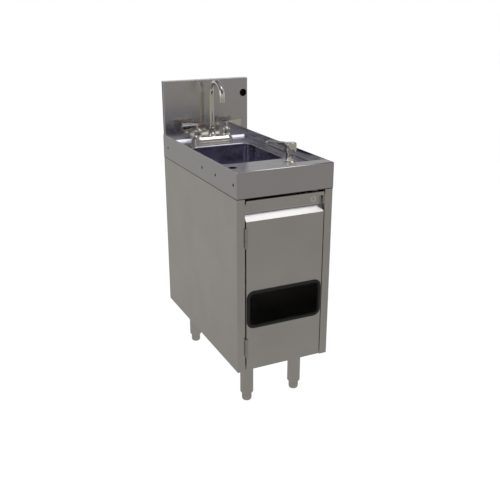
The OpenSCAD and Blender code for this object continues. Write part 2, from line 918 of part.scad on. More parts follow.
module foot(i) {
    r = foot_d / 2;
    flat = foot_flat_d / 2;
    top = foot_h - pass_gap;
    color(steel_col) translate([leg_places[i].x, leg_places[i].y, 0]) rotate_extrude()
        polygon(concat(
            [[0, 0], [flat, 0]],
            [for (a = [0:15:90]) [flat + (r - flat) * sin(a), foot_round - foot_round * cos(a)]],
            [[r, top - 1], [r - 1, top], [stem_d / 2, top]],
            [[stem_d / 2, foot_h + stem_l], [0, foot_h + stem_l]]
        ));
}

module leg_tube_front_left() { leg_tube(0); }
module leg_tube_front_right() { leg_tube(1); }
module leg_tube_rear_left() { leg_tube(2); }
module leg_tube_rear_right() { leg_tube(3); }
module foot_front_left() { foot(0); }
module foot_front_right() { foot(1); }
module foot_rear_left() { foot(2); }
module foot_rear_right() { foot(3); }

// Door
module door_skin() {
    back = face_y + door_fold;
    hw = door_w / 2;
    top_back = face_y + door_top_return;
    slot_back = face_y + door_t - sheet;
    corners = [
        [top_back, door_top], [face_y, door_top], [face_y, pull_top],
        [slot_back, pull_top], [slot_back, pull_low], [face_y, slope_low],
        [face_y, door_z], [back, door_z]
    ];
    color(steel_col) difference() {
        union() {
            along_x(door_w) polygon(sheet_outline(corners, 4, pull_bend_r));
            for (s = [-1, 1]) {
                translate([s * (hw - sheet / 2), 0, 0]) along_x(sheet) polygon(concat(
                    [[face_y + sheet, door_z + sheet / 2], [back, door_z + sheet / 2]],
                    [[back, pull_low + sheet]],
                    bend_run(corners, 4, sheet / 2, pull_bend_r),
                    [[face_y + sheet / 2, slope_low]]
                ));
            }
        }
        translate([0, face_y, waste_z]) rotate([90, 0, 0])
            linear_extrude(through, center = true) round_rect(hole_w, hole_h, hole_r);
        translate([lock_x, slot_back, lock_z]) rotate([90, 0, 0])
            cylinder(d = lock_d + 2 * run_fit, h = through, center = true);
    }
}

// Rubber edging in a U round the waste opening
module door_trim() {
    front = trim_w - trim_lap;
    color(black_col) translate([0, face_y, waste_z]) rotate([90, 0, 0])
        ring_sweep(hole_w, hole_h, hole_r) {
            translate([-trim_lap, -sheet - trim_back_t]) square([trim_lap, sheet + trim_back_t]);
            translate([-trim_lap, 0]) square([trim_lap + front - trim_out, trim_out]);
            translate([front - trim_out, 0]) intersection() {
                circle(trim_out);
                square(trim_out);
            }
            translate([-trim_lap, -sheet - trim_back_t]) square([trim_back_w, trim_back_t]);
        }
}

// Hinges
module knuckle(z, h) {
    translate([hinge_x, hinge_y, z]) difference() {
        cylinder(r = knuckle_r, h = h);
        translate([0, 0, -1]) cylinder(r = hinge_pin_r + run_fit, h = h + 2);
    }
}

// One leaf runs back beside the post or beside the door, from the knuckles that it carries
module hinge_leaf(mid, side, knuckles) {
    low = body_z + mid - hinge_h / 2;
    edges = side * [pass_gap / 2, door_gap / 2];
    x0 = hinge_x + min(edges);
    x1 = hinge_x + max(edges);
    clear = hinge_pin_r + run_fit;
    difference() {
        union() {
            box([x0, face_y - leaf_set, low], [x1, face_y + leaf_d, low + hinge_h]);
            for (k = knuckles) {
                z = low + k * (knuckle_h + knuckle_gap);
                knuckle(z, knuckle_h);
                box([x0, hinge_y + clear, z], [x1, face_y + 1, z + knuckle_h]);
            }
        }
        for (k = [0:2]) {
            if (len(search(k, knuckles)) == 0) {
                z = low + k * (knuckle_h + knuckle_gap) - knuckle_gap;
                translate([hinge_x, hinge_y, z])
                    cylinder(r = knuckle_r + pass_gap, h = knuckle_h + 2 * knuckle_gap);
            }
        }
        translate([hinge_x, hinge_y, low - 1]) cylinder(r = clear, h = hinge_h + 2);
    }
}

module hinge_pin(mid) {
    low = body_z + mid - hinge_h / 2;
    head = knuckle_r - pin_head_in;
    translate([hinge_x, hinge_y, low]) {
        cylinder(r = hinge_pin_r, h = hinge_h);
        for (z = [-pin_head_h, hinge_h]) {
            translate([0, 0, z]) cylinder(r = head, h = pin_head_h);
        }
    }
}

module hinge_frame_leaves() {
    color(chrome_col) for (mid = [hinge_low, hinge_high]) hinge_leaf(mid, -1, [0, 2]);
}

module hinge_door_leaves() {
    color(chrome_col) for (mid = [hinge_low, hinge_high]) hinge_leaf(mid, 1, [1]);
}

module hinge_pins() {
    color(chrome_col) for (mid = [hinge_low, hinge_high]) hinge_pin(mid);
}

// Lock: everything lies along Y at the lock axis, with zero at the back of the finger pull
module at_lock() {
    translate([lock_x, lock_face_y - sheet, lock_z]) rotate([-90, 0, 0]) children();
}

module lock_body() {
    color(chrome_col) at_lock() difference() {
        union() {
            translate([0, 0, -lock_face_t]) cylinder(d = lock_face_d, h = lock_face_t);
            translate([0, 0, -eps]) cylinder(d = lock_d, h = lock_behind - pass_gap + eps);
        }
        translate([0, 0, -lock_face_t - 1])
            cylinder(d = lock_plug_d + 2 * run_fit, h = lock_behind + lock_face_t + 1);
    }
}

module lock_nut() {
    color(chrome_col) at_lock() translate([0, 0, sheet]) hex_nut(lock_d + 5, lock_d + 2 * run_fit, nut_t);
}

module lock_plug() {
    front = lock_face_t + plug_proud;
    color(brass_col) at_lock() difference() {
        union() {
            translate([0, 0, -front]) cylinder(d = lock_plug_d, h = lock_behind + front);
            translate([0, 0, lock_behind]) cylinder(d = cam_post_d, h = cam_t + 3);
        }
        translate([-key_w / 2, -key_l / 2, -front - 1]) cube([key_w, key_l, key_deep]);
    }
}

// The cam lies towards the hinge when the lock is open
module lock_cam() {
    bore = cam_post_d + 2 * run_fit;
    color(chrome_col) at_lock() translate([0, 0, lock_behind]) difference() {
        union() {
            cylinder(d = cam_w, h = cam_t);
            translate([-cam_reach, -cam_w / 2, 0]) cube([cam_reach, cam_w, cam_t]);
        }
        translate([0, 0, -1]) cylinder(d = bore, h = cam_t + 2);
    }
}

// Faucet
module at_faucet(x = 0) {
    translate([x, faucet_y, 0]) children();
}

module faucet_base() {
    hl = base_l / 2 - 1;
    hd = base_d / 2 - 1;
    foot_z = deck_z + plinth_h + base_groove;
    slope_z = foot_z + base_foot;
    rise = deck_z + bridge_h - slope_z;
    ridge_d = hd - base_side_slope;
    color(chrome_col) at_faucet() difference() {
        union() {
            translate([0, 0, deck_z]) linear_extrude(plinth_h) round_rect(base_l, base_d, base_corner);
            translate([0, 0, deck_z]) linear_extrude(plinth_h + base_groove + 1)
                round_rect(base_l - 4, base_d - 4, base_corner - 2);
            translate([0, 0, foot_z]) linear_extrude(base_foot)
                round_rect(2 * hl, 2 * hd, base_corner - 1);
            translate([0, 0, slope_z]) along_x(valve_pitch) polygon([
                [-hd, -1], [hd, -1], [hd, 0], [ridge_d, rise], [-ridge_d, rise], [-hd, 0]
            ]);
            for (x = [-valve_x, 0, valve_x]) {
                translate([x, 0, slope_z])
                    cylinder(d1 = tower_foot_d, d2 = tower_d, h = base_top - slope_z);
            }
            for (s = [-1, 1]) {
                translate([s * valve_x, 0, slope_z]) cylinder(r1 = hd, r2 = ridge_d, h = rise);
                translate([s * valve_x, 0, deck_z - shank_l + inlet_l])
                    cylinder(d = shank_d, h = shank_l - inlet_l + 1);
                translate([s * valve_x, 0, deck_z - shank_l]) cylinder(d = inlet_d, h = inlet_l + eps);
            }
        }
        for (s = [-1, 1]) {
            translate([s * valve_x, 0, deck_z - shank_l - 1])
                cylinder(d = shank_bore, h = shank_l + base_h + 2);
        }
        translate([0, 0, water_z]) {
            cylinder(d = spout_d - 2 * spout_wall, h = base_h);
            rotate([0, 90, 0]) cylinder(d = water_bore, h = valve_pitch, center = true);
        }
        base_hollow(ridge_d - base_thin);
    }
}

// Hollow under the base, which leaves the valve bosses and the water way between them
module base_hollow(r) {
    difference() {
        translate([0, 0, deck_z - 1]) linear_extrude(bridge_h - base_wall + 1)
            round_rect(valve_pitch + 2 * r, 2 * r, r - eps);
        for (s = [-1, 1]) {
            translate([s * valve_x, 0, deck_z - 2]) cylinder(d = shank_d + 2 * base_wall, h = base_h);
        }
        translate([0, 0, water_z]) {
            translate([0, 0, -water_bore / 2 - base_wall]) cylinder(d = spout_d + base_wall, h = base_h);
            rotate([0, 90, 0])
                cylinder(d = water_bore + base_wall, h = valve_pitch, center = true);
        }
    }
}

module faucet_nuts() {
    h = faucet_nut_h;
    color(brass_col) for (s = [-1, 1]) {
        at_faucet(s * valve_x) translate([0, 0, under_deck - h]) difference() {
            union() {
                cylinder(d = faucet_nut_d, h = h);
                translate([-faucet_nut_d / 2 - 4, -4, 0]) cube([faucet_nut_d + 8, 8, h - 4]);
            }
            translate([0, 0, -1]) cylinder(d = shank_d + 2 * run_fit, h = h + 2);
        }
    }
}

module spout_nut() {
    r = spout_d / 2;
    h = nut_h;
    color(chrome_col) at_faucet() translate([0, 0, base_top]) difference() {
        rotate_extrude() polygon([
            [0, 0], [r + 4, 0], [r + 3.6, 2], [r + 1.5, 4.5], [r + 1.2, h - 9], [r + 2.1, h - 8],
            [r + 2.4, h - 7], [r + 2.4, h - 2], [r + 1.9, h - 1], [r + 1, h], [0, h]
        ]);
        translate([0, 0, nut_floor - pass_gap]) cylinder(d = spout_d + 2 * run_fit, h = h);
        translate([0, 0, -1]) cylinder(d = spout_d - 2 * spout_wall, h = h);
    }
}

// Line of the gooseneck: riser, half ring and outlet, drawn solid at one diameter
module gooseneck(d, extra) {
    at_faucet() {
        translate([0, 0, tube_low - extra]) cylinder(d = d, h = bend_z - tube_low + extra);
        translate([0, -spout_bend_r, bend_z]) rotate([90, 0, 90])
            rotate_extrude(angle = 180) translate([spout_bend_r, 0]) circle(d = d);
        translate([0, -2 * spout_bend_r, outlet_z + sheet - extra])
            cylinder(d = d, h = bend_z - outlet_z - sheet + extra);
    }
}

module spout_tube() {
    color(chrome_col) difference() {
        gooseneck(spout_d, 0);
        gooseneck(spout_d - 2 * spout_wall, 1);
    }
}

module outlet_sleeve() {
    color(chrome_col) at_faucet() translate([0, -2 * spout_bend_r, outlet_z]) difference() {
        cylinder(d = sleeve_d, h = sleeve_h);
        translate([0, 0, sheet - eps]) cylinder(d = spout_d + run_fit, h = sleeve_h);
        translate([0, 0, -1]) cylinder(d = spout_d - 5, h = sleeve_h);
    }
}

module valve(s) {
    color(chrome_col) at_faucet(s * valve_x) translate([0, 0, base_top]) difference() {
        union() {
            cylinder(d = valve_d, h = valve_low_h);
            cylinder(d = valve_neck_d, h = valve_low_h + valve_neck_h);
            translate([0, 0, -valve_seat]) cylinder(d = shank_bore - 2 * run_fit, h = valve_seat + 1);
        }
        translate([0, 0, -valve_seat - 1]) cylinder(d = stem_pin_d + 2 * run_fit, h = 4 * through);
    }
}

module stem(s) {
    color(brass_col) at_faucet(s * valve_x) translate([0, 0, base_top - stem_drop])
        cylinder(d = stem_pin_d, h = neck_top - handle_roof - base_top + stem_drop);
}

module handle(s) {
    r = skirt_d / 2;
    nr = neck_d / 2;
    dome = skirt_h - skirt_rim;
    root = s * (nr - 2);
    low = blade_top - blade_gap;
    color(chrome_col) at_faucet(s * valve_x) difference() {
        union() {
            translate([0, 0, skirt_low]) rotate_extrude() polygon(concat(
                [[0, 0], [r - 1, 0], [r, 1], [r, skirt_rim]],
                [for (a = [0:15:75]) [nr + (r - nr) * cos(a), skirt_rim + dome * sin(a)]],
                [[nr, skirt_h], [nr, neck_top - skirt_low], [0, neck_top - skirt_low]]
            ));
            rotate([90, 0, 0]) linear_extrude(blade_t, center = true) polygon([
                [root, low - blade_root_h], [s * (cap_d / 2 + blade_start), low - blade_root_h],
                [s * (blade_l - 4), blade_top - blade_tip_h], [s * blade_l, blade_top],
                [s * (cap_d / 2 + cap_play), blade_top - 1], [s * (cap_d / 2 + cap_play), low], [root, low]
            ]);
        }
        translate([0, 0, skirt_low - 1]) cylinder(d = valve_neck_d + 3, h = skirt_hollow + 1);
        translate([0, 0, skirt_low - 1])
            cylinder(d = stem_pin_d + 2 * run_fit, h = neck_top - handle_roof - skirt_low + 1);
    }
}

module cap(s, tint) {
    color(tint) at_faucet(s * valve_x) translate([0, 0, neck_top]) rotate_extrude()
        polygon([[0, 0], [cap_d / 2, 0], [cap_d / 2, cap_h - 1], [cap_d / 2 - 1, cap_h], [0, cap_h]]);
}

module hot_valve() { valve(-1); }
module cold_valve() { valve(1); }
module hot_stem() { stem(-1); }
module cold_stem() { stem(1); }
module hot_handle() { handle(-1); }
module cold_handle() { handle(1); }
module hot_cap() { cap(-1, red_col); }
module cold_cap() { cap(1, blue_col); }

// Soap dispenser, with heights counted from the deck
module at_soap() {
    translate([soap_x, soap_axis_y, deck_z]) children();
}

module soap_collar() {
    fr = soap_flange_d / 2;
    cr = soap_collar_d / 2;
    sr = shank_soap_d / 2;
    color(chrome_col) at_soap() difference() {
        rotate_extrude() polygon([
            [0, -shank_soap_l], [sr, -shank_soap_l], [sr, 0], [fr, 0], [fr, flange_edge_h],
            [fr - 2, flange_h - 1], [cr + 2, flange_h], [cr, flange_h + 2], [cr, collar_top - 1],
            [cr - 1, collar_top], [0, collar_top]
        ]);
        translate([0, 0, -shank_soap_l - 1])
            cylinder(d = cyl_d + 2 * run_fit, h = shank_soap_l + collar_top + 2);
    }
}

module soap_nut() {
    color(plastic_col) at_soap() translate([0, 0, -sheet - soap_nut_h])
        hex_nut(soap_nut_w, shank_soap_d + 2 * run_fit, soap_nut_h);
}

module soap_bottle() {
    r = bottle_d / 2;
    neck = shank_soap_d / 2 + run_fit;
    shoulder = bottle_neck_top - bottle_neck_h;
    low = shoulder - bottle_l;
    w = bottle_wall;
    st = bottle_slope;
    bt = bottle_turn;
    bf = bottle_foot;
    color(plastic_col) at_soap() rotate_extrude() polygon([
        [neck, bottle_neck_top], [neck + w, bottle_neck_top], [neck + w, shoulder],
        [r - bt, shoulder - st], [r, shoulder - st - bt], [r, low + bf], [r - bf, low], [0, low],
        [0, low + w], [r - bf - w / 2, low + w], [r - w, low + bf + w / 2],
        [r - w, shoulder - st - bt - w / 2], [r - bt - w / 2, shoulder - st - w],
        [neck, shoulder - w]
    ]);
}

module pump_cylinder() {
    color(plastic_col) at_soap() difference() {
        union() {
            translate([0, 0, cyl_low]) cylinder(d = cyl_d, h = collar_top - cyl_low);
            translate([0, 0, collar_top]) cylinder(d = cyl_d + 8, h = cyl_cap_t);
        }
        translate([0, 0, cyl_low + cyl_floor_t])
            cylinder(d = cyl_bore, h = collar_top - cyl_guide_h - cyl_low - cyl_floor_t);
        translate([0, 0, cyl_low - 1]) cylinder(d = rod_d + 2 * run_fit, h = collar_top - cyl_low + 6);
    }
}

module pump_rod() {
    color(plastic_col) at_soap() translate([0, 0, piston_z]) {
        cylinder(d = rod_d, h = head_hollow_top + rod_socket - piston_z);
        cylinder(d = cyl_bore - 2 * run_fit, h = piston_h);
    }
}

// Coil of round wire between the piston and the bottom of the cylinder
spring_end = spring_wire / 2 + spring_play;
spring_low = cyl_low + cyl_floor_t + spring_end;
spring_high = piston_z - spring_end;
spring_sides = 6;
spring_steps = 10 * spring_turns;
function spring_point(k) =
    let (a = 360 * k * spring_turns / spring_steps, r = spring_d / 2)
    [r * cos(a), r * sin(a), spring_low + (spring_high - spring_low) * k / spring_steps];
function spring_ring(k) =
    let (c = spring_point(k), a = 360 * k * spring_turns / spring_steps)
    [for (i = [0:spring_sides - 1])
        let (b = 360 * i / spring_sides)
        c + spring_wire / 2 * [cos(b) * cos(a), cos(b) * sin(a), sin(b)]];

module pump_spring() {
    n = spring_sides;
    last = spring_steps * n;
    points = [for (k = [0:spring_steps]) each spring_ring(k)];
    walls = [for (k = [0:spring_steps - 1], i = [0:n - 1])
        let (a = k * n + i, b = k * n + (i + 1) % n)
        each [[a, b, a + n], [b, b + n, a + n]]];
    ends = [for (i = [1:n - 2]) each [[0, i + 1, i], [last, last + i, last + i + 1]]];
    color(chrome_col) at_soap() polyhedron(points, concat(walls, ends));
}

// Pump head: hollow cap that runs down over the collar, with a thin spout
module soap_head() {
    r = soap_head_d / 2;
    inner = soap_collar_d / 2 + pass_gap;
    hr = head_round;
    color(chrome_col) at_soap() difference() {
        union() {
            rotate_extrude() polygon(concat(
                [[0, head_low], [r - head_edge, head_low], [r, head_low + head_edge]],
                [for (a = [0:15:90]) [r - hr + hr * cos(a), soap_top - hr + hr * sin(a)]],
                [[0, soap_top]]
            ));
            rotate([0, 0, soap_turn]) translate([0, 0, soap_spout_up]) soap_spout();
        }
        translate([0, 0, head_low - 1]) cylinder(r = inner, h = head_hollow_top - head_low + 1);
        translate([0, 0, head_low])
            cylinder(d = rod_d + 2 * run_fit, h = head_hollow_top + rod_socket - head_low);
    }
}

// Thin spout along +X with its tip turned down
module soap_spout() {
    run = soap_reach - tip_r;
    rotate([0, 90, 0]) cylinder(d = soap_spout_d, h = run + eps);
    translate([run, 0, -tip_r]) rotate([90, 0, 0])
        rotate_extrude(angle = 90) translate([tip_r, 0]) circle(d = soap_spout_d);
    translate([soap_reach, 0, -tip_r - tip_h]) difference() {
        cylinder(d = soap_spout_d, h = tip_h + eps);
        translate([0, 0, -1]) cylinder(d = soap_spout_bore, h = tip_h);
    }
}

module dip_tube() {
    bottom = bottle_neck_top - bottle_neck_h - bottle_l + 8;
    color(plastic_col) at_soap() translate([0, 0, bottom]) difference() {
        cylinder(d = dip_d, h = cyl_low + dip_stay - bottom);
        translate([0, 0, -1]) cylinder(d = dip_d - 2 * dip_wall, h = cyl_low + dip_stay - bottom + 2);
    }
}

// Drain, with heights counted from the bottom of the bowl
module at_drain() {
    translate([0, bowl_y, bowl_floor]) children();
}

module drain_body() {
    fr = drain_flange_d / 2;
    dr = drain_d / 2;
    color(chrome_col) at_drain() difference() {
        rotate_extrude() polygon([
            [0, -drain_l], [dr, -drain_l], [dr, 0], [fr, 0], [fr, drain_edge_t],
            [dr + 4, drain_lip_t], [0, drain_lip_t]
        ]);
        translate([0, 0, -drain_l - 1]) cylinder(d = drain_bore - 4, h = drain_l + 4);
        translate([0, 0, -strainer_drop]) cylinder(d = drain_bore, h = through);
    }
}

module drain_strainer() {
    color(chrome_col) at_drain() translate([0, 0, -strainer_drop]) difference() {
        cylinder(d = drain_bore - 1, h = strainer_t);
        for (i = [-2:2], j = [-2:2]) {
            x = strainer_pitch * (i + j / 2);
            y = strainer_pitch * j * sin(60);
            if (norm([x, y]) < drain_bore / 2 - strainer_hole_d) {
                translate([x, y, -1]) cylinder(d = strainer_hole_d, h = strainer_t + 2);
            }
        }
    }
}

module drain_gasket() {
    color(black_col) at_drain() translate([0, 0, -sheet - gasket_t]) difference() {
        cylinder(d = drain_flange_d - 2 * gasket_inset, h = gasket_t);
        translate([0, 0, -1]) cylinder(d = drain_d + 2 * run_fit, h = gasket_t + 2);
    }
}

module drain_nut() {
    color(chrome_col) at_drain() translate([0, 0, -sheet - gasket_t - drain_nut_t])
        hex_nut(drain_nut_w, drain_d + 2 * run_fit, drain_nut_t);
}

module tailpiece() {
    color(chrome_col) at_drain() translate([0, 0, -drain_l - tail_drop]) difference() {
        union() {
            cylinder(d = tail_d, h = tail_drop);
            translate([0, 0, tail_drop - tail_collar_l]) cylinder(d = tail_collar_d, h = tail_collar_l);
            translate([0, 0, tail_drop - tail_flange_t]) cylinder(d = drain_d - 1, h = tail_flange_t);
        }
        translate([0, 0, -1]) cylinder(d = tail_d - 2 * tail_wall, h = tail_drop + 2);
    }
}

module tailpiece_nut() {
    color(chrome_col) at_drain() translate([0, 0, -drain_l - tail_nut_low]) difference() {
        cylinder(r = drain_d / 2 + tail_nut_t, h = tail_nut_h, $fn = 8);
        translate([0, 0, -1]) cylinder(d = tail_collar_d + 4 * run_fit, h = tail_nut_h);
        translate([0, 0, tail_nut_floor - pass_gap])
            cylinder(d = drain_d + 2 * run_fit, h = tail_nut_h);
    }
}

left_side_panel();
right_side_panel();
floor_panel();
back_panel();
rails();
back_screws();
deck_pan();
deck_front();
deck_rear();
deck_sides();
bowl();
splash_front();
splash_back();
splash_rivets();
leg_plates();
leg_tube_front_left();
leg_tube_front_right();
leg_tube_rear_left();
leg_tube_rear_right();
foot_front_left();
foot_front_right();
foot_rear_left();
foot_rear_right();
door_skin();
door_trim();
hinge_frame_leaves();
hinge_door_leaves();
hinge_pins();
lock_body();
lock_nut();
lock_plug();
lock_cam();
faucet_base();
faucet_nuts();
spout_nut();
spout_tube();
outlet_sleeve();
hot_valve();
cold_valve();
hot_stem();
cold_stem();
hot_handle();
cold_handle();
hot_cap();
cold_cap();
soap_collar();
soap_nut();
soap_bottle();
pump_cylinder();
pump_rod();
pump_spring();
soap_head();
dip_tube();
drain_body();
drain_strainer();
drain_gasket();
drain_nut();
tailpiece();
tailpiece_nut();
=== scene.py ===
# Underbar hand sink: finishes, cast and turned pieces, studio light and camera
import math

import bpy
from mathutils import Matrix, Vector


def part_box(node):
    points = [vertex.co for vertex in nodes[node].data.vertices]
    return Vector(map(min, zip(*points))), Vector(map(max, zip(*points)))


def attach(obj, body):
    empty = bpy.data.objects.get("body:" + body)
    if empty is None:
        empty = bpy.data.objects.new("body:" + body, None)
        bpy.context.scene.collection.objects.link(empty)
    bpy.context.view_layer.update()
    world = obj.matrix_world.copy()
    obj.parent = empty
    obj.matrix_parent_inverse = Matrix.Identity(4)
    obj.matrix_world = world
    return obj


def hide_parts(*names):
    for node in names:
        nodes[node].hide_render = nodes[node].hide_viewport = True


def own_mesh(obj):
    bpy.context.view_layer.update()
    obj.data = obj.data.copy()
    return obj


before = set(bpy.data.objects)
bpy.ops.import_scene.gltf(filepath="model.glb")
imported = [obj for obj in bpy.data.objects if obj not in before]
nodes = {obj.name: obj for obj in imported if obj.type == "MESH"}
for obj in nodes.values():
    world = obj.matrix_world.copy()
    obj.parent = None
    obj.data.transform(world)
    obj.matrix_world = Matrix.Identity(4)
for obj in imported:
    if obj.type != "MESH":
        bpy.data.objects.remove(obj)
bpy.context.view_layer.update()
print("stage: frame loaded,", len(nodes), "nodes")


# Main places, in metres, as the part has them

deckZ = 0.7366  # floor of the sunk deck
faucetY = 0.24195  # line of the faucet's three axes
valveX = 0.0508  # a valve's axis, from the middle
baseTop = 0.7641  # tops of the faucet's towers
bodyTop = 0.6858  # shut seam under the apron
legPlaces = {
    "front_left": (-0.0841, -0.21575), "front_right": (0.0841, -0.21575),
    "rear_left": (-0.0841, 0.23205), "rear_right": (0.0841, 0.23205),
}
bowlMiddle = (0.0, 0.04195, 0.70)  # black painted shade goes on the bowl's faces that look away from here
behindSplash = (0.0, 2.0, 0.85)  # and on the splash cover's faces that look away from here

# Small values that all pieces share

alongX, alongY, alongZ = 0, 1, 2
quarterTurn = math.pi / 2
mergeGap = 0.000005
windGap = 0.000001
levelSlack = 0.00001
middleSlack = 0.000001
squareOn = 0.9  # a face looks along an axis when this much of its normal does
sharpAngle = math.radians(35)  # edges that turn more than this stay sharp
threadSteps = 28  # in each turn of a thread


# Helpers for meshes

def deselectAll():
    if bpy.context.object and bpy.context.object.mode != "OBJECT":
        bpy.ops.object.mode_set(mode="OBJECT")
    bpy.ops.object.select_all(action="DESELECT")


def makeActive(piece):
    deselectAll()
    piece.select_set(True)
    bpy.context.view_layer.objects.active = piece


def applyModifier(piece, kind, **values):
    makeActive(piece)
    modifier = piece.modifiers.new(kind.lower(), kind)
    for key, value in values.items():
        setattr(modifier, key, value)
    bpy.ops.object.modifier_apply(modifier=modifier.name)


def editAll():
    bpy.ops.object.mode_set(mode="EDIT")
    bpy.ops.mesh.select_all(action="SELECT")


def backToObject():
    bpy.ops.object.mode_set(mode="OBJECT")


def editOnly(piece, kind, fits):
    # edit mode, with only those vertices or polygons selected that fit
    bpy.ops.object.mode_set(mode="EDIT")
    bpy.ops.mesh.select_all(action="DESELECT")
    backToObject()
    for element in getattr(piece.data, kind):
        element.select = fits(element)
    bpy.ops.object.mode_set(mode="EDIT")


def extrudeBy(move):
    bpy.ops.mesh.extrude_region_move(TRANSFORM_OT_translate={"value": move})


def closeMesh(endSides=0):
    # open ends with that many sides are filled, or else doubles merged, and faces point out
    editAll()
    if endSides:
        bpy.ops.mesh.fill_holes(sides=endSides)
    else:
        bpy.ops.mesh.remove_doubles(threshold=mergeGap)
    bpy.ops.mesh.normals_make_consistent(inside=False)
    backToObject()


def turnRings(profile, centre, sides, closed=False):
    # rings drawn one after the other round an upright axis, as (radius, height) pairs
    deselectAll()
    x, y = centre
    radius, height = profile[0]
    fill = "NOTHING" if closed else "NGON"
    bpy.ops.mesh.primitive_circle_add(
        vertices=sides, radius=radius, fill_type=fill, location=(x, y, height))
    editAll()
    for nextRadius, nextHeight in profile[1:] + (profile[:1] if closed else []):
        extrudeBy((0, 0, nextHeight - height))
        factor = nextRadius / radius
        if nextRadius != radius:
            centrePoint = (x, y, nextHeight)
            bpy.ops.transform.resize(value=(factor, factor, 1), center_override=centrePoint)
        radius, height = nextRadius, nextHeight
    closeMesh()
    return bpy.context.object


def windUp(piece, centre, low, pitch, turns, steps):
    # a small outline wound up round an upright axis
    bpy.context.scene.cursor.location = (*centre, low)
    bpy.ops.object.origin_set(type="ORIGIN_CURSOR")
    applyModifier(
        piece, "SCREW", axis="Z", screw_offset=pitch, iterations=turns, steps=steps,
        render_steps=steps, use_merge_vertices=True, merge_threshold=windGap)


def screwThread(centre, low, high, radius, pitch, depth):
    # a three sided ridge up an upright axis
    deselectAll()
    start = (centre[0] + radius - depth, centre[1], low + depth)
    bpy.ops.mesh.primitive_circle_add(
        vertices=3, radius=depth, fill_type="NOTHING", location=start,
        rotation=(quarterTurn, 0, quarterTurn))
    piece = bpy.context.object
    bpy.ops.object.transform_apply(location=True, rotation=True, scale=True)
    editAll()
    bpy.ops.transform.rotate(value=quarterTurn, orient_axis="Z", center_override=start)
    backToObject()
    windUp(piece, centre, low, pitch, int((high - low - 2 * depth) / pitch), threadSteps)
    closeMesh(endSides=4)
    return piece


def joinPieces(pieces):
    makeActive(pieces[0])
    for other in pieces[1:]:
        other.select_set(True)
    bpy.ops.object.join()
    return bpy.context.object


def blendTogether(piece, settings):
    # pieces that overlap become one skin, softened where they meet
    applyModifier(piece, "REMESH", mode="VOXEL", voxel_size=settings["voxel"])
    applyModifier(piece, "SMOOTH", factor=0.5, iterations=settings["blend"])


def finishPiece(piece, name, material, body, replaced=()):
    # place goes into the mesh, faces point out, and the piece rides on its body
    makeActive(piece)
    bpy.ops.object.transform_apply(location=True, rotation=True, scale=True)
    editAll()
    bpy.ops.mesh.normals_make_consistent(inside=False)
    backToObject()
    bpy.ops.object.shade_smooth_by_angle(angle=sharpAngle)
    piece.name = name
    piece.data.name = name
    piece.data.materials.clear()
    piece.data.materials.append(material)
    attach(piece, body)
    if replaced:
        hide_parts(*replaced)
    print("piece:", name, len(piece.data.polygons), "faces")


# Helpers for materials

noiseLow, noiseHigh = 0.3, 0.7  # where noise begins and ends to count


def newMaterial(name, metallic=0.0, roughness=0.5, color=(0.5, 0.5, 0.5)):
    mat = bpy.data.materials.new(name)
    mat.use_nodes = True
    shader = mat.node_tree.nodes["Principled BSDF"]
    shader.inputs["Base Color"].default_value = (*color, 1)
    shader.inputs["Metallic"].default_value = metallic
    shader.inputs["Roughness"].default_value = roughness
    return mat, mat.node_tree, shader


def setColor(tree, socket, value):
    # a plain colour, or one that comes out of another node
    if isinstance(value, tuple):
        socket.default_value = (*value, 1)
    else:
        tree.links.new(value, socket)


def objectNoise(tree, scale, detail=2.0, stretch=(1, 1, 1)):
    # noise on object coordinates, stretched along the grain
    coords = tree.nodes.new("ShaderNodeTexCoord")
    mapping = tree.nodes.new("ShaderNodeMapping")
    mapping.inputs["Scale"].default_value = stretch
    noise = tree.nodes.new("ShaderNodeTexNoise")
    noise.inputs["Scale"].default_value = scale
    noise.inputs["Detail"].default_value = detail
    tree.links.new(coords.outputs["Object"], mapping.inputs["Vector"])
    tree.links.new(mapping.outputs["Vector"], noise.inputs["Vector"])
    return noise.outputs["Fac"]


def remap(tree, value, low, high, start=noiseLow, end=noiseHigh):
    node = tree.nodes.new("ShaderNodeMapRange")
    node.inputs["From Min"].default_value = start
    node.inputs["From Max"].default_value = end
    node.inputs["To Min"].default_value = low
    node.inputs["To Max"].default_value = high
    tree.links.new(value, node.inputs["Value"])
    return node.outputs["Result"]


def addUp(tree, first, second):
    node = tree.nodes.new("ShaderNodeMath")
    node.operation = "ADD"
    tree.links.new(first, node.inputs[0])
    tree.links.new(second, node.inputs[1])
    return node.outputs["Value"]


def tint(tree, value, dark, light):
    ramp = tree.nodes.new("ShaderNodeValToRGB")
    first, last = ramp.color_ramp.elements
    first.position, first.color = noiseLow, (*dark, 1)
    last.position, last.color = noiseHigh, (*light, 1)
    tree.links.new(value, ramp.inputs["Fac"])
    return ramp.outputs["Color"]


def coordinate(tree, output, axis):
    # one number out of the place or the direction of a surface
    coords = tree.nodes.new("ShaderNodeTexCoord")
    split = tree.nodes.new("ShaderNodeSeparateXYZ")
    tree.links.new(coords.outputs[output], split.inputs["Vector"])
    return split.outputs[axis]


def blendColors(tree, factor, first, second):
    mix = tree.nodes.new("ShaderNodeMix")
    mix.data_type = "RGBA"
    tree.links.new(factor, mix.inputs["Factor"])
    setColor(tree, mix.inputs[6], first)
    setColor(tree, mix.inputs[7], second)
    return mix.outputs[2]


def bumpFrom(tree, shader, value, strength, distance):
    bump = tree.nodes.new("ShaderNodeBump")
    bump.inputs["Strength"].default_value = strength
    bump.inputs["Distance"].default_value = distance
    tree.links.new(value, bump.inputs["Height"])
    tree.links.new(bump.outputs["Normal"], shader.inputs["Normal"])


# Steel sheet

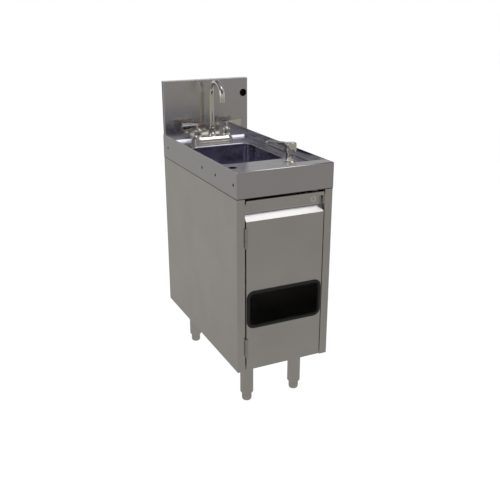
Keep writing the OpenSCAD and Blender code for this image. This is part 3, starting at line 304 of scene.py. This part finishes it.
steelSettings = {
    "dark": (0.690, 0.676, 0.648),
    "light": (0.735, 0.720, 0.692),
    "roughness": (0.15, 0.19),
    "smudge": (0.0, 0.03),
    "smudgeCounts": (0.5, 0.75),
    "smudgeScale": 9.0,
    "smudgeDetail": 4.0,
    "grainScale": 30.0,
    "grainDetail": 3.0,
    "grainStretch": 90.0,
    "grainHeight": 0.00001,
    "grainStrength": 0.05,
    # painted shade: colour of the dark line along the shut seam
    "paintedSeamShade": (0.035, 0.035, 0.038),
    "seamShadeWidth": 0.0014,
    "seamShadeCore": 0.6,
    # painted shade: near black colour for faces hidden in shade
    "paintedShade": (0.022, 0.022, 0.024),
    "paintedShadeRoughness": 0.6,
}

# buffed top: the same steel with hardly a line left in it, and darker and bluer as painted shade
buffedShadedSettings = {
    **steelSettings,
    "dark": (0.655, 0.650, 0.655),
    "light": (0.672, 0.667, 0.672),
    "roughness": (0.155, 0.170),
    "smudge": (0.0, 0.006),
    "grainStrength": 0.015,
}

# where the black painted shade begins and ends, on normals that look down and on those that look away
paintedShadeEdges = {"down": (-0.6, -0.4), "away": (0.0, 0.004)}


def seamShade(tree, height, settings):
    # 1 in the dark line of painted shade along the shut seam at a height, 0 away from it
    drop = tree.nodes.new("ShaderNodeMath")
    drop.operation = "SUBTRACT"
    tree.links.new(coordinate(tree, "Object", "Z"), drop.inputs[0])
    drop.inputs[1].default_value = height
    size = tree.nodes.new("ShaderNodeMath")
    size.operation = "ABSOLUTE"
    tree.links.new(drop.outputs["Value"], size.inputs[0])
    width = settings["seamShadeWidth"]
    return remap(tree, size.outputs["Value"], 1.0, 0.0, width * settings["seamShadeCore"], width)


def paintedShadeFaces(tree, awayFrom):
    # 1 on the faces that take black painted shade: those that look down, or away from a point
    if awayFrom == "up":
        return remap(tree, coordinate(tree, "Normal", "Z"), 1.0, 0.0, *paintedShadeEdges["down"])
    coords = tree.nodes.new("ShaderNodeTexCoord")
    away = tree.nodes.new("ShaderNodeVectorMath")
    away.operation = "SUBTRACT"
    away.inputs[1].default_value = awayFrom
    along = tree.nodes.new("ShaderNodeVectorMath")
    along.operation = "DOT_PRODUCT"
    tree.links.new(coords.outputs["Object"], away.inputs[0])
    tree.links.new(away.outputs["Vector"], along.inputs[0])
    tree.links.new(coords.outputs["Normal"], along.inputs[1])
    return remap(tree, along.outputs["Value"], 0.0, 1.0, *paintedShadeEdges["away"])


def brushedSteel(name, grainAxis, rough=1.0, shade=(1, 1, 1), paintedSeamShade=None, paintedShade=None, settings=steelSettings):
    # satin sheet: fine lines along one axis, faint clouds of handling over them, and, where asked
    # for, a dark line of painted shade along a shut seam or black painted shade on the hidden faces
    mat, tree, shader = newMaterial(name, metallic=1.0)
    stretch = [settings["grainStretch"]] * 3
    stretch[grainAxis] = 1.0
    grain = objectNoise(tree, settings["grainScale"], settings["grainDetail"], stretch)
    clouds = objectNoise(tree, settings["smudgeScale"], settings["smudgeDetail"])
    dark, light = (
        [part * factor for part, factor in zip(settings[end], shade)] for end in ("dark", "light"))
    color = tint(tree, clouds, dark, light)
    low, high = settings["roughness"]
    lines = remap(tree, grain, low * rough, high * rough)
    smudges = remap(tree, clouds, *settings["smudge"], *settings["smudgeCounts"])
    roughness = addUp(tree, lines, smudges)
    if paintedSeamShade is not None:
        # painted shade: a dark line along the shut seam
        color = blendColors(tree, seamShade(tree, paintedSeamShade, settings), color, settings["paintedSeamShade"])
    if paintedShade is not None:
        # painted shade: hidden faces turn near black, dull and not metallic
        hidden = paintedShadeFaces(tree, paintedShade)
        color = blendColors(tree, hidden, color, settings["paintedShade"])
        dull = remap(tree, hidden, 0.0, settings["paintedShadeRoughness"], 0.0, 1.0)
        roughness = addUp(tree, roughness, dull)
        tree.links.new(remap(tree, hidden, 1.0, 0.0, 0.0, 1.0), shader.inputs["Metallic"])
    tree.links.new(color, shader.inputs["Base Color"])
    tree.links.new(roughness, shader.inputs["Roughness"])
    bumpFrom(tree, shader, grain, settings["grainStrength"], settings["grainHeight"])
    return mat


# Chrome, brass, rubber and plastics

chromeSettings = {
    "color": (0.95, 0.94, 0.81),
    "roughness": (0.04, 0.06),
    "smudgeScale": 55.0,
    "smudgeDetail": 3.0,
}
brassSettings = {
    "dark": (0.50, 0.36, 0.16),
    "light": (0.66, 0.50, 0.26),
    "roughness": (0.2, 0.38),
    "stainScale": 160.0,
    "stainDetail": 3.0,
}
rubberSettings = {
    "color": (0.010, 0.010, 0.009),
    "roughness": (0.42, 0.56),
    "poreScale": 900.0,
    "poreStrength": 0.15,
    "poreHeight": 0.0001,
}
plasticSettings = {
    "duller": 0.07,
    "glossier": 0.05,
    "flowScale": 120.0,
    "flowStrength": 0.08,
    "flowHeight": 0.0001,
}


def polishedChrome(name, color=chromeSettings["color"], settings=chromeSettings):
    mat, tree, shader = newMaterial(name, metallic=1.0, color=color)
    smudges = objectNoise(tree, settings["smudgeScale"], settings["smudgeDetail"])
    tree.links.new(remap(tree, smudges, *settings["roughness"]), shader.inputs["Roughness"])
    return mat


def plainBrass(name, settings=brassSettings):
    mat, tree, shader = newMaterial(name, metallic=1.0)
    stain = objectNoise(tree, settings["stainScale"], settings["stainDetail"])
    tree.links.new(tint(tree, stain, settings["dark"], settings["light"]), shader.inputs["Base Color"])
    tree.links.new(remap(tree, stain, *settings["roughness"]), shader.inputs["Roughness"])
    return mat


def rubber(name, settings=rubberSettings):
    mat, tree, shader = newMaterial(name, color=settings["color"])
    pores = objectNoise(tree, settings["poreScale"])
    tree.links.new(remap(tree, pores, *settings["roughness"]), shader.inputs["Roughness"])
    bumpFrom(tree, shader, pores, settings["poreStrength"], settings["poreHeight"])
    return mat


def mouldedPlastic(name, color, roughness, settings=plasticSettings):
    mat, tree, shader = newMaterial(name, color=color)
    flow = objectNoise(tree, settings["flowScale"])
    low, high = roughness - settings["glossier"], roughness + settings["duller"]
    tree.links.new(remap(tree, flow, low, high), shader.inputs["Roughness"])
    bumpFrom(tree, shader, flow, settings["flowStrength"], settings["flowHeight"])
    return mat


steelUpright = brushedSteel("steelUpright", alongZ, rough=1.1)
# the side panels take a dark line of painted shade along the shut seam
steelSide = brushedSteel("steelSide", alongZ, rough=1.1, paintedSeamShade=bodyTop)
steelAcross = brushedSteel("steelAcross", alongX, rough=1.1)
steelDeep = brushedSteel("steelDeep", alongY, rough=1.1)
# the deck top: buffed, darker and bluer as painted shade, with a dark line of painted shade along the shut
# seam
steelPolished = brushedSteel("steelPolished", alongX, paintedSeamShade=bodyTop, settings=buffedShadedSettings)
# the pan: darker and bluer as a painted reflection of the violet sky, and black painted shade on faces that
# look down
steelPan = brushedSteel("steelPan", alongX, shade=(0.95, 0.96, 1.02), paintedShade="up", settings=buffedShadedSettings)
steelSplash = brushedSteel(
    "steelSplash", alongZ, rough=1.2, shade=(1.04, 1.03, 1.0), settings=buffedShadedSettings)
# black painted shade on the cover's faces inside the splash
steelMill = brushedSteel("steelMill", alongX, rough=2.6, shade=(0.8, 0.8, 0.8), paintedShade=behindSplash)
# the bowl: bluer as a painted reflection of the violet above, and black painted shade on its outer faces
steelBowl = brushedSteel("steelBowl", alongY, rough=0.85, shade=(1.02, 1.03, 1.17), paintedShade=bowlMiddle)
steelBright = polishedChrome("steelBright", color=(0.60, 0.59, 0.58))
chrome = polishedChrome("chrome")
brass = plainBrass("brass")
blackRubber = rubber("blackRubber")
redPlastic = mouldedPlastic("redPlastic", color=(0.62, 0.045, 0.045), roughness=0.3)
bluePlastic = mouldedPlastic("bluePlastic", color=(0.045, 0.10, 0.56), roughness=0.3)
whitePlastic = mouldedPlastic("whitePlastic", color=(0.78, 0.78, 0.74), roughness=0.45)

finishes = {
    steelUpright: ["back_panel", "door_skin"],
    steelSide: ["left_side_panel", "right_side_panel"],
    steelAcross: ["rails", "splash_rivets", "leg_plates"],
    steelDeep: ["floor_panel"],
    steelPolished: ["deck_front", "deck_rear", "deck_sides"],
    steelPan: ["deck_pan"],
    steelSplash: ["splash_front"],
    steelMill: ["splash_back"],
    steelBowl: ["bowl"],
    steelBright: [
        "back_screws", "hinge_frame_leaves", "hinge_door_leaves", "hinge_pins", "lock_nut",
        "lock_cam", "pump_spring", "drain_strainer",
    ],
    chrome: [
        "lock_body", "faucet_base", "spout_nut", "spout_tube", "outlet_sleeve", "hot_valve",
        "cold_valve", "hot_handle", "cold_handle", "soap_collar", "soap_head", "drain_body",
        "drain_nut", "tailpiece", "tailpiece_nut", "lock_plug",
    ],
    brass: ["faucet_nuts", "hot_stem", "cold_stem"],
    blackRubber: ["door_trim", "drain_gasket"],
    redPlastic: ["hot_cap"],
    bluePlastic: ["cold_cap"],
    whitePlastic: ["soap_nut", "soap_bottle", "pump_cylinder", "pump_rod", "dip_tube"],
}
for corner in legPlaces:
    finishes[steelUpright] += ["leg_tube_" + corner, "foot_" + corner]

for mat, names in finishes.items():
    for nodeName in names:
        slots = nodes[nodeName].data.materials
        slots.clear()
        slots.append(mat)
print("stage: finishes given")


# Flat ground along the front nose of the deck

noseSettings = {
    "radius": 0.003,
    "width": 0.0023,
    "thickness": 0.0004,
    "proud": 0.00005,
    "endGap": 0.0016,
    "edge": 0.0001,
}


def makeDeckNose(settings):
    low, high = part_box("deck_front")
    slant = math.sqrt(0.5)
    out = settings["radius"] + settings["proud"] - settings["thickness"] / 2
    middle = settings["radius"] - out * slant
    deselectAll()
    bpy.ops.mesh.primitive_cube_add(
        size=1, location=(0, low[1] + middle, high[2] - middle), rotation=(quarterTurn / 2, 0, 0))
    piece = bpy.context.object
    piece.scale = (high[0] - low[0] - 2 * settings["endGap"], settings["width"], settings["thickness"])
    bpy.ops.object.transform_apply(location=True, rotation=True, scale=True)
    applyModifier(piece, "BEVEL", width=settings["edge"], segments=2)
    finishPiece(piece, "deckNose", steelPolished, "frame")


makeDeckNose(noseSettings)
print("stage: deck nose ground")


# Cast faucet body, with its towers blended into the bridge, and two threaded shanks

faucetSettings = {
    "plinthReach": 0.0242,
    "plinthHeight": 0.0045,
    "plinthEdge": 0.0009,
    "grooveInset": 0.002,
    "grooveTop": 0.0063,
    "footReach": 0.0232,
    "footTop": 0.0113,
    "bridgeTop": 0.0195,
    "bridgeSlope": 0.0065,
    "towerFoot": 0.0185,
    "towerTop": 0.0134,
    "lap": 0.001,  # how far pieces run into each other
    "voxel": 0.0008,
    "blend": 7,
    "endSides": 96,
    "towerSides": 64,
    "shankSides": 48,
    "shankRadius": 0.0103,
    "shankStep": 0.0003,
    "shankEnd": 0.052,
    "inletTop": 0.030,
    "inletRadius": 0.0100,
    "bore": 0.006,
    "chamfer": 0.0008,
    "threadPitch": 0.0018,
    "threadDepth": 0.0009,
    "threadGap": 0.0005,
    "underGap": 0.0002,
}


def stadium(reach, low, high, sides):
    # a round ended block along X, drawn out from one round
    deselectAll()
    bpy.ops.mesh.primitive_cylinder_add(
        vertices=sides, radius=reach, depth=high - low, location=(0, faucetY, (low + high) / 2))
    piece = bpy.context.object
    bpy.ops.object.transform_apply(location=True, rotation=False, scale=False)
    for side in (-1, 1):
        # what lies on the middle line goes to the right
        editOnly(piece, "vertices", lambda vertex: vertex.co.x * side > -side * middleSlack)
        bpy.ops.transform.translate(value=(side * valveX, 0, 0))
        backToObject()
    return piece


def drawInTop(piece, thickness, depth):
    # the flat top goes up and in, so that the sides slope all round
    makeActive(piece)
    level = max(vertex.co.z for vertex in piece.data.vertices) - levelSlack
    editOnly(piece, "polygons", lambda face: face.normal.z > squareOn and face.center.z > level)
    bpy.ops.mesh.inset(thickness=thickness, depth=depth)
    backToObject()


def makeShank(centre, settings):
    # a wide thread under the deck, and a narrower one for the supply below it
    bore, step, chamfer = settings["bore"], settings["shankStep"], settings["chamfer"]
    low, inlet = deckZ - settings["shankEnd"], deckZ - settings["inletTop"]
    top = deckZ - settings["underGap"]
    pitch, depth = settings["threadPitch"], settings["threadDepth"]
    core = settings["inletRadius"] - depth
    profile = [
        (bore, low), (core - chamfer, low), (core, low + chamfer), (core, inlet),
        (core + step, inlet), (core + step, top), (bore, top)]
    tube = turnRings(profile, centre, settings["shankSides"], closed=True)
    narrow = screwThread(centre, low + settings["lap"], inlet, settings["inletRadius"], pitch, depth)
    wide = screwThread(centre, inlet, deckZ - settings["threadGap"], settings["shankRadius"], pitch, depth)
    return [tube, narrow, wide]


def makeFaucetBody(settings):
    lap, sides, plinthReach = settings["lap"], settings["endSides"], settings["plinthReach"]
    footTop, grooveTop = deckZ + settings["footTop"], deckZ + settings["grooveTop"]
    foot = stadium(settings["footReach"], grooveTop, footTop, sides)
    drawInTop(foot, settings["bridgeSlope"], settings["bridgeTop"] - settings["footTop"])
    parts = [foot]
    tower = [(settings["towerFoot"], footTop - lap), (settings["towerFoot"], footTop),
             (settings["towerTop"], baseTop)]
    for x in (-valveX, 0, valveX):
        parts.append(turnRings(tower, (x, faucetY), settings["towerSides"]))
    cast = joinPieces(parts)
    blendTogether(cast, settings)
    plinth = stadium(plinthReach, deckZ, deckZ + settings["plinthHeight"], sides)
    applyModifier(
        plinth, "BEVEL", width=settings["plinthEdge"], segments=3, limit_method="ANGLE",
        angle_limit=sharpAngle)
    neck = stadium(plinthReach - settings["grooveInset"], deckZ + lap, grooveTop + lap, sides)
    parts = [cast, plinth, neck]
    for x in (-valveX, valveX):
        parts += makeShank((x, faucetY), settings)
    body = joinPieces(parts)
    finishPiece(body, "faucetBody", chrome, "frame", ["faucet_base"])


makeFaucetBody(faucetSettings)


# Wrist blade handles: a domed hub with its neck, and a blade that flares to its tip

handleSettings = {
    "hubSides": 72,
    "hubRadius": 0.016,
    "hubLow": 0.7736,
    "hubEdge": 0.001,
    "rimHeight": 0.003,
    "hubTop": 0.7851,
    "domeSteps": 7,
    "neckRadius": 0.00575,
    "neckFoot": 0.0004,
    "neckTop": 0.8031,
    "hollowRadius": 0.0125,
    "hollowTop": 0.7796,
    "stemRadius": 0.00405,
    "bladeThickness": 0.0045,
    # distance from the axis, lower edge, upper edge
    "blade": [
        (0.0035, 0.7906, 0.8026), (0.0110, 0.7906, 0.8026), (0.0200, 0.7884, 0.8046),
        (0.0330, 0.7860, 0.8049), (0.0450, 0.7838, 0.8052), (0.0545, 0.7824, 0.8055),
        (0.0570, 0.7836, 0.8056)],
    "voxel": 0.0005,
    "blend": 5,
}


def bladeShape(side, settings):
    # the end face is drawn out station by station
    deselectAll()
    inner, low, high = settings["blade"][0]
    reach = settings["blade"][1][0]
    axis = side * valveX
    middle = axis + side * (inner + reach) / 2
    bpy.ops.mesh.primitive_cube_add(size=1, location=(middle, faucetY, (low + high) / 2))
    piece = bpy.context.object
    piece.scale = (reach - inner, settings["bladeThickness"], high - low)
    bpy.ops.object.transform_apply(location=True, rotation=True, scale=True)
    editOnly(piece, "polygons", lambda face: face.normal.x * side > squareOn)
    for nextReach, nextLow, nextHigh in settings["blade"][2:]:
        extrudeBy((side * (nextReach - reach), 0, (nextLow + nextHigh - low - high) / 2))
        taller = (nextHigh - nextLow) / (high - low)
        centrePoint = (axis + side * nextReach, faucetY, (nextLow + nextHigh) / 2)
        bpy.ops.transform.resize(value=(1, 1, taller), center_override=centrePoint)
        reach, low, high = nextReach, nextLow, nextHigh
    backToObject()
    return piece


def makeHandle(name, side, settings):
    radius, neck, stem = settings["hubRadius"], settings["neckRadius"], settings["stemRadius"]
    low, edge, hollow = settings["hubLow"], settings["hubEdge"], settings["hollowRadius"]
    rim = low + settings["rimHeight"]
    dome = settings["hubTop"] - rim
    profile = [(hollow, low), (radius - edge, low), (radius, low + edge), (radius, rim)]
    for step in range(1, settings["domeSteps"]):
        angle = step * quarterTurn / settings["domeSteps"]
        profile.append((neck + (radius - neck) * math.cos(angle), rim + dome * math.sin(angle)))
    profile += [
        (neck, settings["hubTop"] + settings["neckFoot"]), (neck, settings["neckTop"]),
        (stem, settings["neckTop"]), (stem, settings["hollowTop"]), (hollow, settings["hollowTop"])]
    hub = turnRings(profile, (side * valveX, faucetY), settings["hubSides"], closed=True)
    handle = joinPieces([hub, bladeShape(side, settings)])
    blendTogether(handle, settings)
    finishPiece(handle, name + "Blade", chrome, name + "_lever", [name + "_handle"])


makeHandle("hot", -1, handleSettings)
makeHandle("cold", 1, handleSettings)
print("stage: faucet cast")


# Soap pump: a threaded shank with its flange and column, a smooth cap with a thin spout, and the spring

soapSettings = {
    "collarSides": 72,
    # radius, height above the deck
    "collar": [
        (0.00755, -0.045), (0.0102, -0.045), (0.011, -0.0442), (0.011, -0.004), (0.012, -0.0035),
        (0.012, 0.0), (0.02045, 0.0), (0.02075, 0.0003), (0.02075, 0.0018), (0.02015, 0.0025),
        (0.0151, 0.0038), (0.0139, 0.0042), (0.0135, 0.005), (0.0135, 0.0314), (0.0129, 0.032),
        (0.00755, 0.032)],
    "threadRadius": 0.012,
    "threadLow": -0.044,
    "threadHigh": -0.004,
    "threadPitch": 0.0018,
    "threadDepth": 0.001,
    "capSides": 96,
    # from the socket of the rod down the inside and round the lower edge
    "capInside": [
        (0.00305, 0.0545), (0.00305, 0.0515), (0.0139, 0.0515), (0.0139, 0.0304), (0.0143, 0.030),
        (0.0174, 0.030), (0.018, 0.0306)],
    "capRadius": 0.018,
    "capTop": 0.059,
    "capRound": 0.003,
    "capRoundSteps": 6,
    "spoutSides": 32,
    "spoutTurn": math.radians(124),
    "spoutRadius": 0.003,
    "spoutBore": 0.00175,
    "spoutStart": 0.010,
    "spoutReach": 0.082,
    "tipBend": 0.008,
    "tipBendSteps": 14,
    "tipLength": 0.0055,
    "springTurns": 9,
    "springSteps": 32,
    "springWire": 0.0006,
    "wireSides": 12,
    "springPressed": 0.54,
}


def onDeck(outline):
    return [(radius, deckZ + height) for radius, height in outline]


def makeSoapCollar(centre, settings):
    collar = turnRings(onDeck(settings["collar"]), centre, settings["collarSides"], closed=True)
    thread = screwThread(
        centre, deckZ + settings["threadLow"], deckZ + settings["threadHigh"],
        settings["threadRadius"], settings["threadPitch"], settings["threadDepth"])
    piece = joinPieces([collar, thread])
    finishPiece(piece, "soapCollar", chrome, "frame", ["soap_collar"])


def thinSpout(centre, settings):
    # drawn out of the cap, bent down, and bored at its tip
    deselectAll()
    turn, radius, bend = settings["spoutTurn"], settings["spoutRadius"], settings["tipBend"]
    along, up = Vector((math.cos(turn), math.sin(turn), 0)), Vector((0, 0, 1))
    axisPoint = Vector((*centre, deckZ + settings["capTop"] - radius))
    start = axisPoint + along * settings["spoutStart"]
    run = settings["spoutReach"] - bend - settings["spoutStart"]
    bpy.ops.mesh.primitive_circle_add(
        vertices=settings["spoutSides"], radius=radius, fill_type="NGON", location=start,
        rotation=(0, quarterTurn, turn))
    editAll()
    extrudeBy(along * run)
    bpy.ops.mesh.spin(
        steps=settings["tipBendSteps"], angle=quarterTurn, center=start + along * run - up * bend,
        axis=along.cross(up))
    extrudeBy(up * -settings["tipLength"])
    bpy.ops.mesh.inset(thickness=radius - settings["spoutBore"])
    extrudeBy(up * settings["tipLength"])
    closeMesh()
    return bpy.context.object


def makeSoapHead(centre, settings):
    radius, top, bend = settings["capRadius"], settings["capTop"], settings["capRound"]
    outline = list(settings["capInside"])
    for step in range(settings["capRoundSteps"] + 1):
        angle = step * quarterTurn / settings["capRoundSteps"]
        outline.append((radius - bend + bend * math.cos(angle), top - bend + bend * math.sin(angle)))
    cap = turnRings(onDeck(outline), centre, settings["capSides"])
    piece = joinPieces([cap, thinSpout(centre, settings)])
    finishPiece(piece, "soapHead", chrome, "soap_cap", ["soap_head"])


def makePumpSpring(centre, settings):
    # wound from one round of wire
    low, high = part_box("pump_spring")
    wire, turns, sides = settings["springWire"], settings["springTurns"], settings["wireSides"]
    pitch = (high[2] - low[2] - 2 * wire) / turns
    deselectAll()
    bpy.ops.mesh.primitive_circle_add(
        vertices=sides, radius=wire, fill_type="NOTHING", rotation=(quarterTurn, 0, 0),
        location=(high[0] - wire, centre[1], low[2] + wire))
    piece = bpy.context.object
    bpy.ops.object.transform_apply(location=True, rotation=True, scale=True)
    windUp(piece, centre, low[2], pitch, turns, settings["springSteps"])
    closeMesh(endSides=sides)
    finishPiece(piece, "pumpSpring", steelBright, "frame", ["pump_spring"])
    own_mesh(piece)


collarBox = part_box("soap_collar")
soapCentre = tuple((collarBox[0][axis] + collarBox[1][axis]) / 2 for axis in (alongX, alongY))
makeSoapCollar(soapCentre, soapSettings)
makeSoapHead(soapCentre, soapSettings)
makePumpSpring(soapCentre, soapSettings)
print("stage: soap pump turned")


# Levelling feet: bullet with a spanner groove, and a threaded stem up in the leg

footSettings = {
    "sides": 48,
    # radius, height above the floor
    "sole": [(0.0066, 0.0004), (0.0105, 0.0)],
    "flatRadius": 0.011,
    "radius": 0.0155,
    "roundHeight": 0.008,
    "roundSteps": 6,
    # groove, top edge, and the core of the stem
    "upper": [
        (0.0155, 0.0197), (0.0147, 0.0204), (0.0147, 0.0220), (0.0155, 0.0227), (0.0155, 0.0262),
        (0.0145, 0.0272), (0.0071, 0.0272), (0.0071, 0.0866), (0.0061, 0.0876)],
    "threadRadius": 0.008,
    "threadLow": 0.0276,
    "threadHigh": 0.0866,
    "threadPitch": 0.002,
    "threadDepth": 0.0009,
}


def makeFoot(corner, centre, settings):
    flat, wider = settings["flatRadius"], settings["radius"] - settings["flatRadius"]
    outline = list(settings["sole"])
    for step in range(settings["roundSteps"] + 1):
        angle = step * quarterTurn / settings["roundSteps"]
        outline.append((flat + wider * math.sin(angle), settings["roundHeight"] * (1 - math.cos(angle))))
    bullet = turnRings(outline + settings["upper"], centre, settings["sides"])
    thread = screwThread(
        centre, settings["threadLow"], settings["threadHigh"], settings["threadRadius"],
        settings["threadPitch"], settings["threadDepth"])
    foot = joinPieces([bullet, thread])
    finishPiece(foot, "foot-" + corner, steelUpright, "foot_" + corner, ["foot_" + corner])


for corner, legAxis in legPlaces.items():
    makeFoot(corner, legAxis, footSettings)
print("stage: feet turned")


# Camera

cameraSettings = {
    "place": (-0.89375, -1.95357, 1.20691),
    "target": (-0.11252, -0.30005, 0.53643),
    "lens": 50.0,
    "sensor": 36.0,
}


def placeCamera(settings):
    data = bpy.data.cameras.new("camera")
    data.lens = settings["lens"]
    data.sensor_width = settings["sensor"]
    camera = bpy.data.objects.new("camera", data)
    bpy.context.scene.collection.objects.link(camera)
    camera.location = settings["place"]
    view = Vector(settings["target"]) - camera.location
    camera.rotation_euler = view.to_track_quat("-Z", "Y").to_euler()
    bpy.context.scene.camera = camera


# Floor and light

studioSettings = {
    "floorSize": 30.0,
    "floorColor": (0.55, 0.55, 0.55),
    "floorRoughness": 0.9,
    "floorGlow": (0.90, 0.90, 0.895),
    # what the metal mirrors, in front of the sink and behind it
    "floorInSteel": {"front": (0.270, 0.258, 0.246), "back": (0.334, 0.326, 0.311)},
    "horizonInSteel": {"front": (0.33, 0.32, 0.32), "back": (0.72, 0.72, 0.71)},
    "wallInSteel": {"front": (0.375, 0.362, 0.405), "back": (0.385, 0.380, 0.372)},
    "upperInSteel": {"front": (0.095, 0.090, 0.125), "back": (0.095, 0.090, 0.125)},
    "topInSteel": {"front": (0.27, 0.267, 0.34), "back": (0.27, 0.267, 0.34)},
    # heights between the horizon at 0 and straight up at 1
    "bands": {"horizonInSteel": (0.12,), "wallInSteel": (0.20, 0.34), "upperInSteel": (0.47, 0.75)},
    # half the depth over which front turns into back, on the floor in metres and in the air
    "floorTurn": 1.0,
    "airTurn": 0.3,
    "lampsAim": (0, 0, 0.6),
}
softboxes = {
    "key": {"toward": (0.39, -0.25, 0.885), "distance": 3.2, "size": (1.5, 1.6), "power": 10.5},
    "left": {"toward": (-0.85, -0.25, 0.45), "distance": 3.5, "size": (0.8, 1.6), "power": 4.0},
}


def glowing(tree, color):
    node = tree.nodes.new("ShaderNodeEmission")
    setColor(tree, node.inputs["Color"], color)
    return node.outputs["Emission"]


def mixShaders(tree, rayKind, first, second, surface):
    # the second shader is for one kind of ray alone
    path = tree.nodes.new("ShaderNodeLightPath")
    mix = tree.nodes.new("ShaderNodeMixShader")
    tree.links.new(path.outputs[rayKind], mix.inputs["Fac"])
    tree.links.new(first, mix.inputs[1])
    tree.links.new(second, mix.inputs[2])
    tree.links.new(mix.outputs["Shader"], surface)


def placeFloor(settings):
    # pale floor that keeps its paleness without strong lamps
    deselectAll()
    bpy.ops.mesh.primitive_plane_add(size=settings["floorSize"], location=(0, 0, 0))
    floor = bpy.context.object
    floor.name = "floor"
    mat, tree, shader = newMaterial(
        "paleFloor", color=settings["floorColor"], roughness=settings["floorRoughness"])
    pale = tree.nodes.new("ShaderNodeAddShader")
    tree.links.new(shader.outputs["BSDF"], pale.inputs[0])
    tree.links.new(glowing(tree, settings["floorGlow"]), pale.inputs[1])
    turn, mirrored = settings["floorTurn"], settings["floorInSteel"]
    toBack = remap(tree, coordinate(tree, "Object", "Y"), 0.0, 1.0, -turn, turn)
    seen = glowing(tree, blendColors(tree, toBack, mirrored["front"], mirrored["back"]))
    surface = tree.nodes["Material Output"].inputs["Surface"]
    mixShaders(tree, "Is Glossy Ray", pale.outputs["Shader"], seen, surface)
    floor.data.materials.append(mat)


def placeSoftbox(name, box, aim):
    data = bpy.data.lights.new(name, "AREA")
    data.shape = "RECTANGLE"
    data.size, data.size_y = box["size"]
    data.energy = box["power"]
    lamp = bpy.data.objects.new(name, data)
    bpy.context.scene.collection.objects.link(lamp)
    toward = Vector(box["toward"]).normalized()
    lamp.location = Vector(aim) + toward * box["distance"]
    lamp.rotation_euler = (-toward).to_track_quat("-Z", "Y").to_euler()


def lightWorld(settings):
    # grey studio walls with a bright strip low at the back, dark and bluer above, lighter overhead,
    # and plain white for the camera
    world = bpy.data.worlds.new("studio")
    bpy.context.scene.world = world
    world.use_nodes = True
    tree = world.node_tree
    height = coordinate(tree, "Generated", "Z")
    sides = []
    for side in ("front", "back"):
        ramp = tree.nodes.new("ShaderNodeValToRGB")
        tree.links.new(height, ramp.inputs["Fac"])
        stops = ramp.color_ramp.elements
        stops[0].position, stops[0].color = 0.0, (*settings["horizonInSteel"][side], 1)
        stops[1].position, stops[1].color = 1.0, (*settings["topInSteel"][side], 1)
        for band, places in settings["bands"].items():
            for place in places:
                stop = stops.new(place)
                stop.color = (*settings[band][side], 1)
        sides.append(ramp.outputs["Color"])
    turn = settings["airTurn"]
    toBack = remap(tree, coordinate(tree, "Generated", "Y"), 0.0, 1.0, -turn, turn)
    around = tree.nodes["Background"]
    tree.links.new(blendColors(tree, toBack, *sides), around.inputs["Color"])
    white = tree.nodes.new("ShaderNodeBackground")
    white.inputs["Color"].default_value = (1, 1, 1, 1)
    surface = tree.nodes["World Output"].inputs["Surface"]
    mixShaders(
        tree, "Is Camera Ray", around.outputs["Background"], white.outputs["Background"], surface)


placeCamera(cameraSettings)
placeFloor(studioSettings)
for boxName, boxSettings in softboxes.items():
    placeSoftbox(boxName, boxSettings, studioSettings["lampsAim"])
lightWorld(studioSettings)
bpy.context.scene.view_settings.view_transform = "Standard"
print("stage: camera, floor and light set")
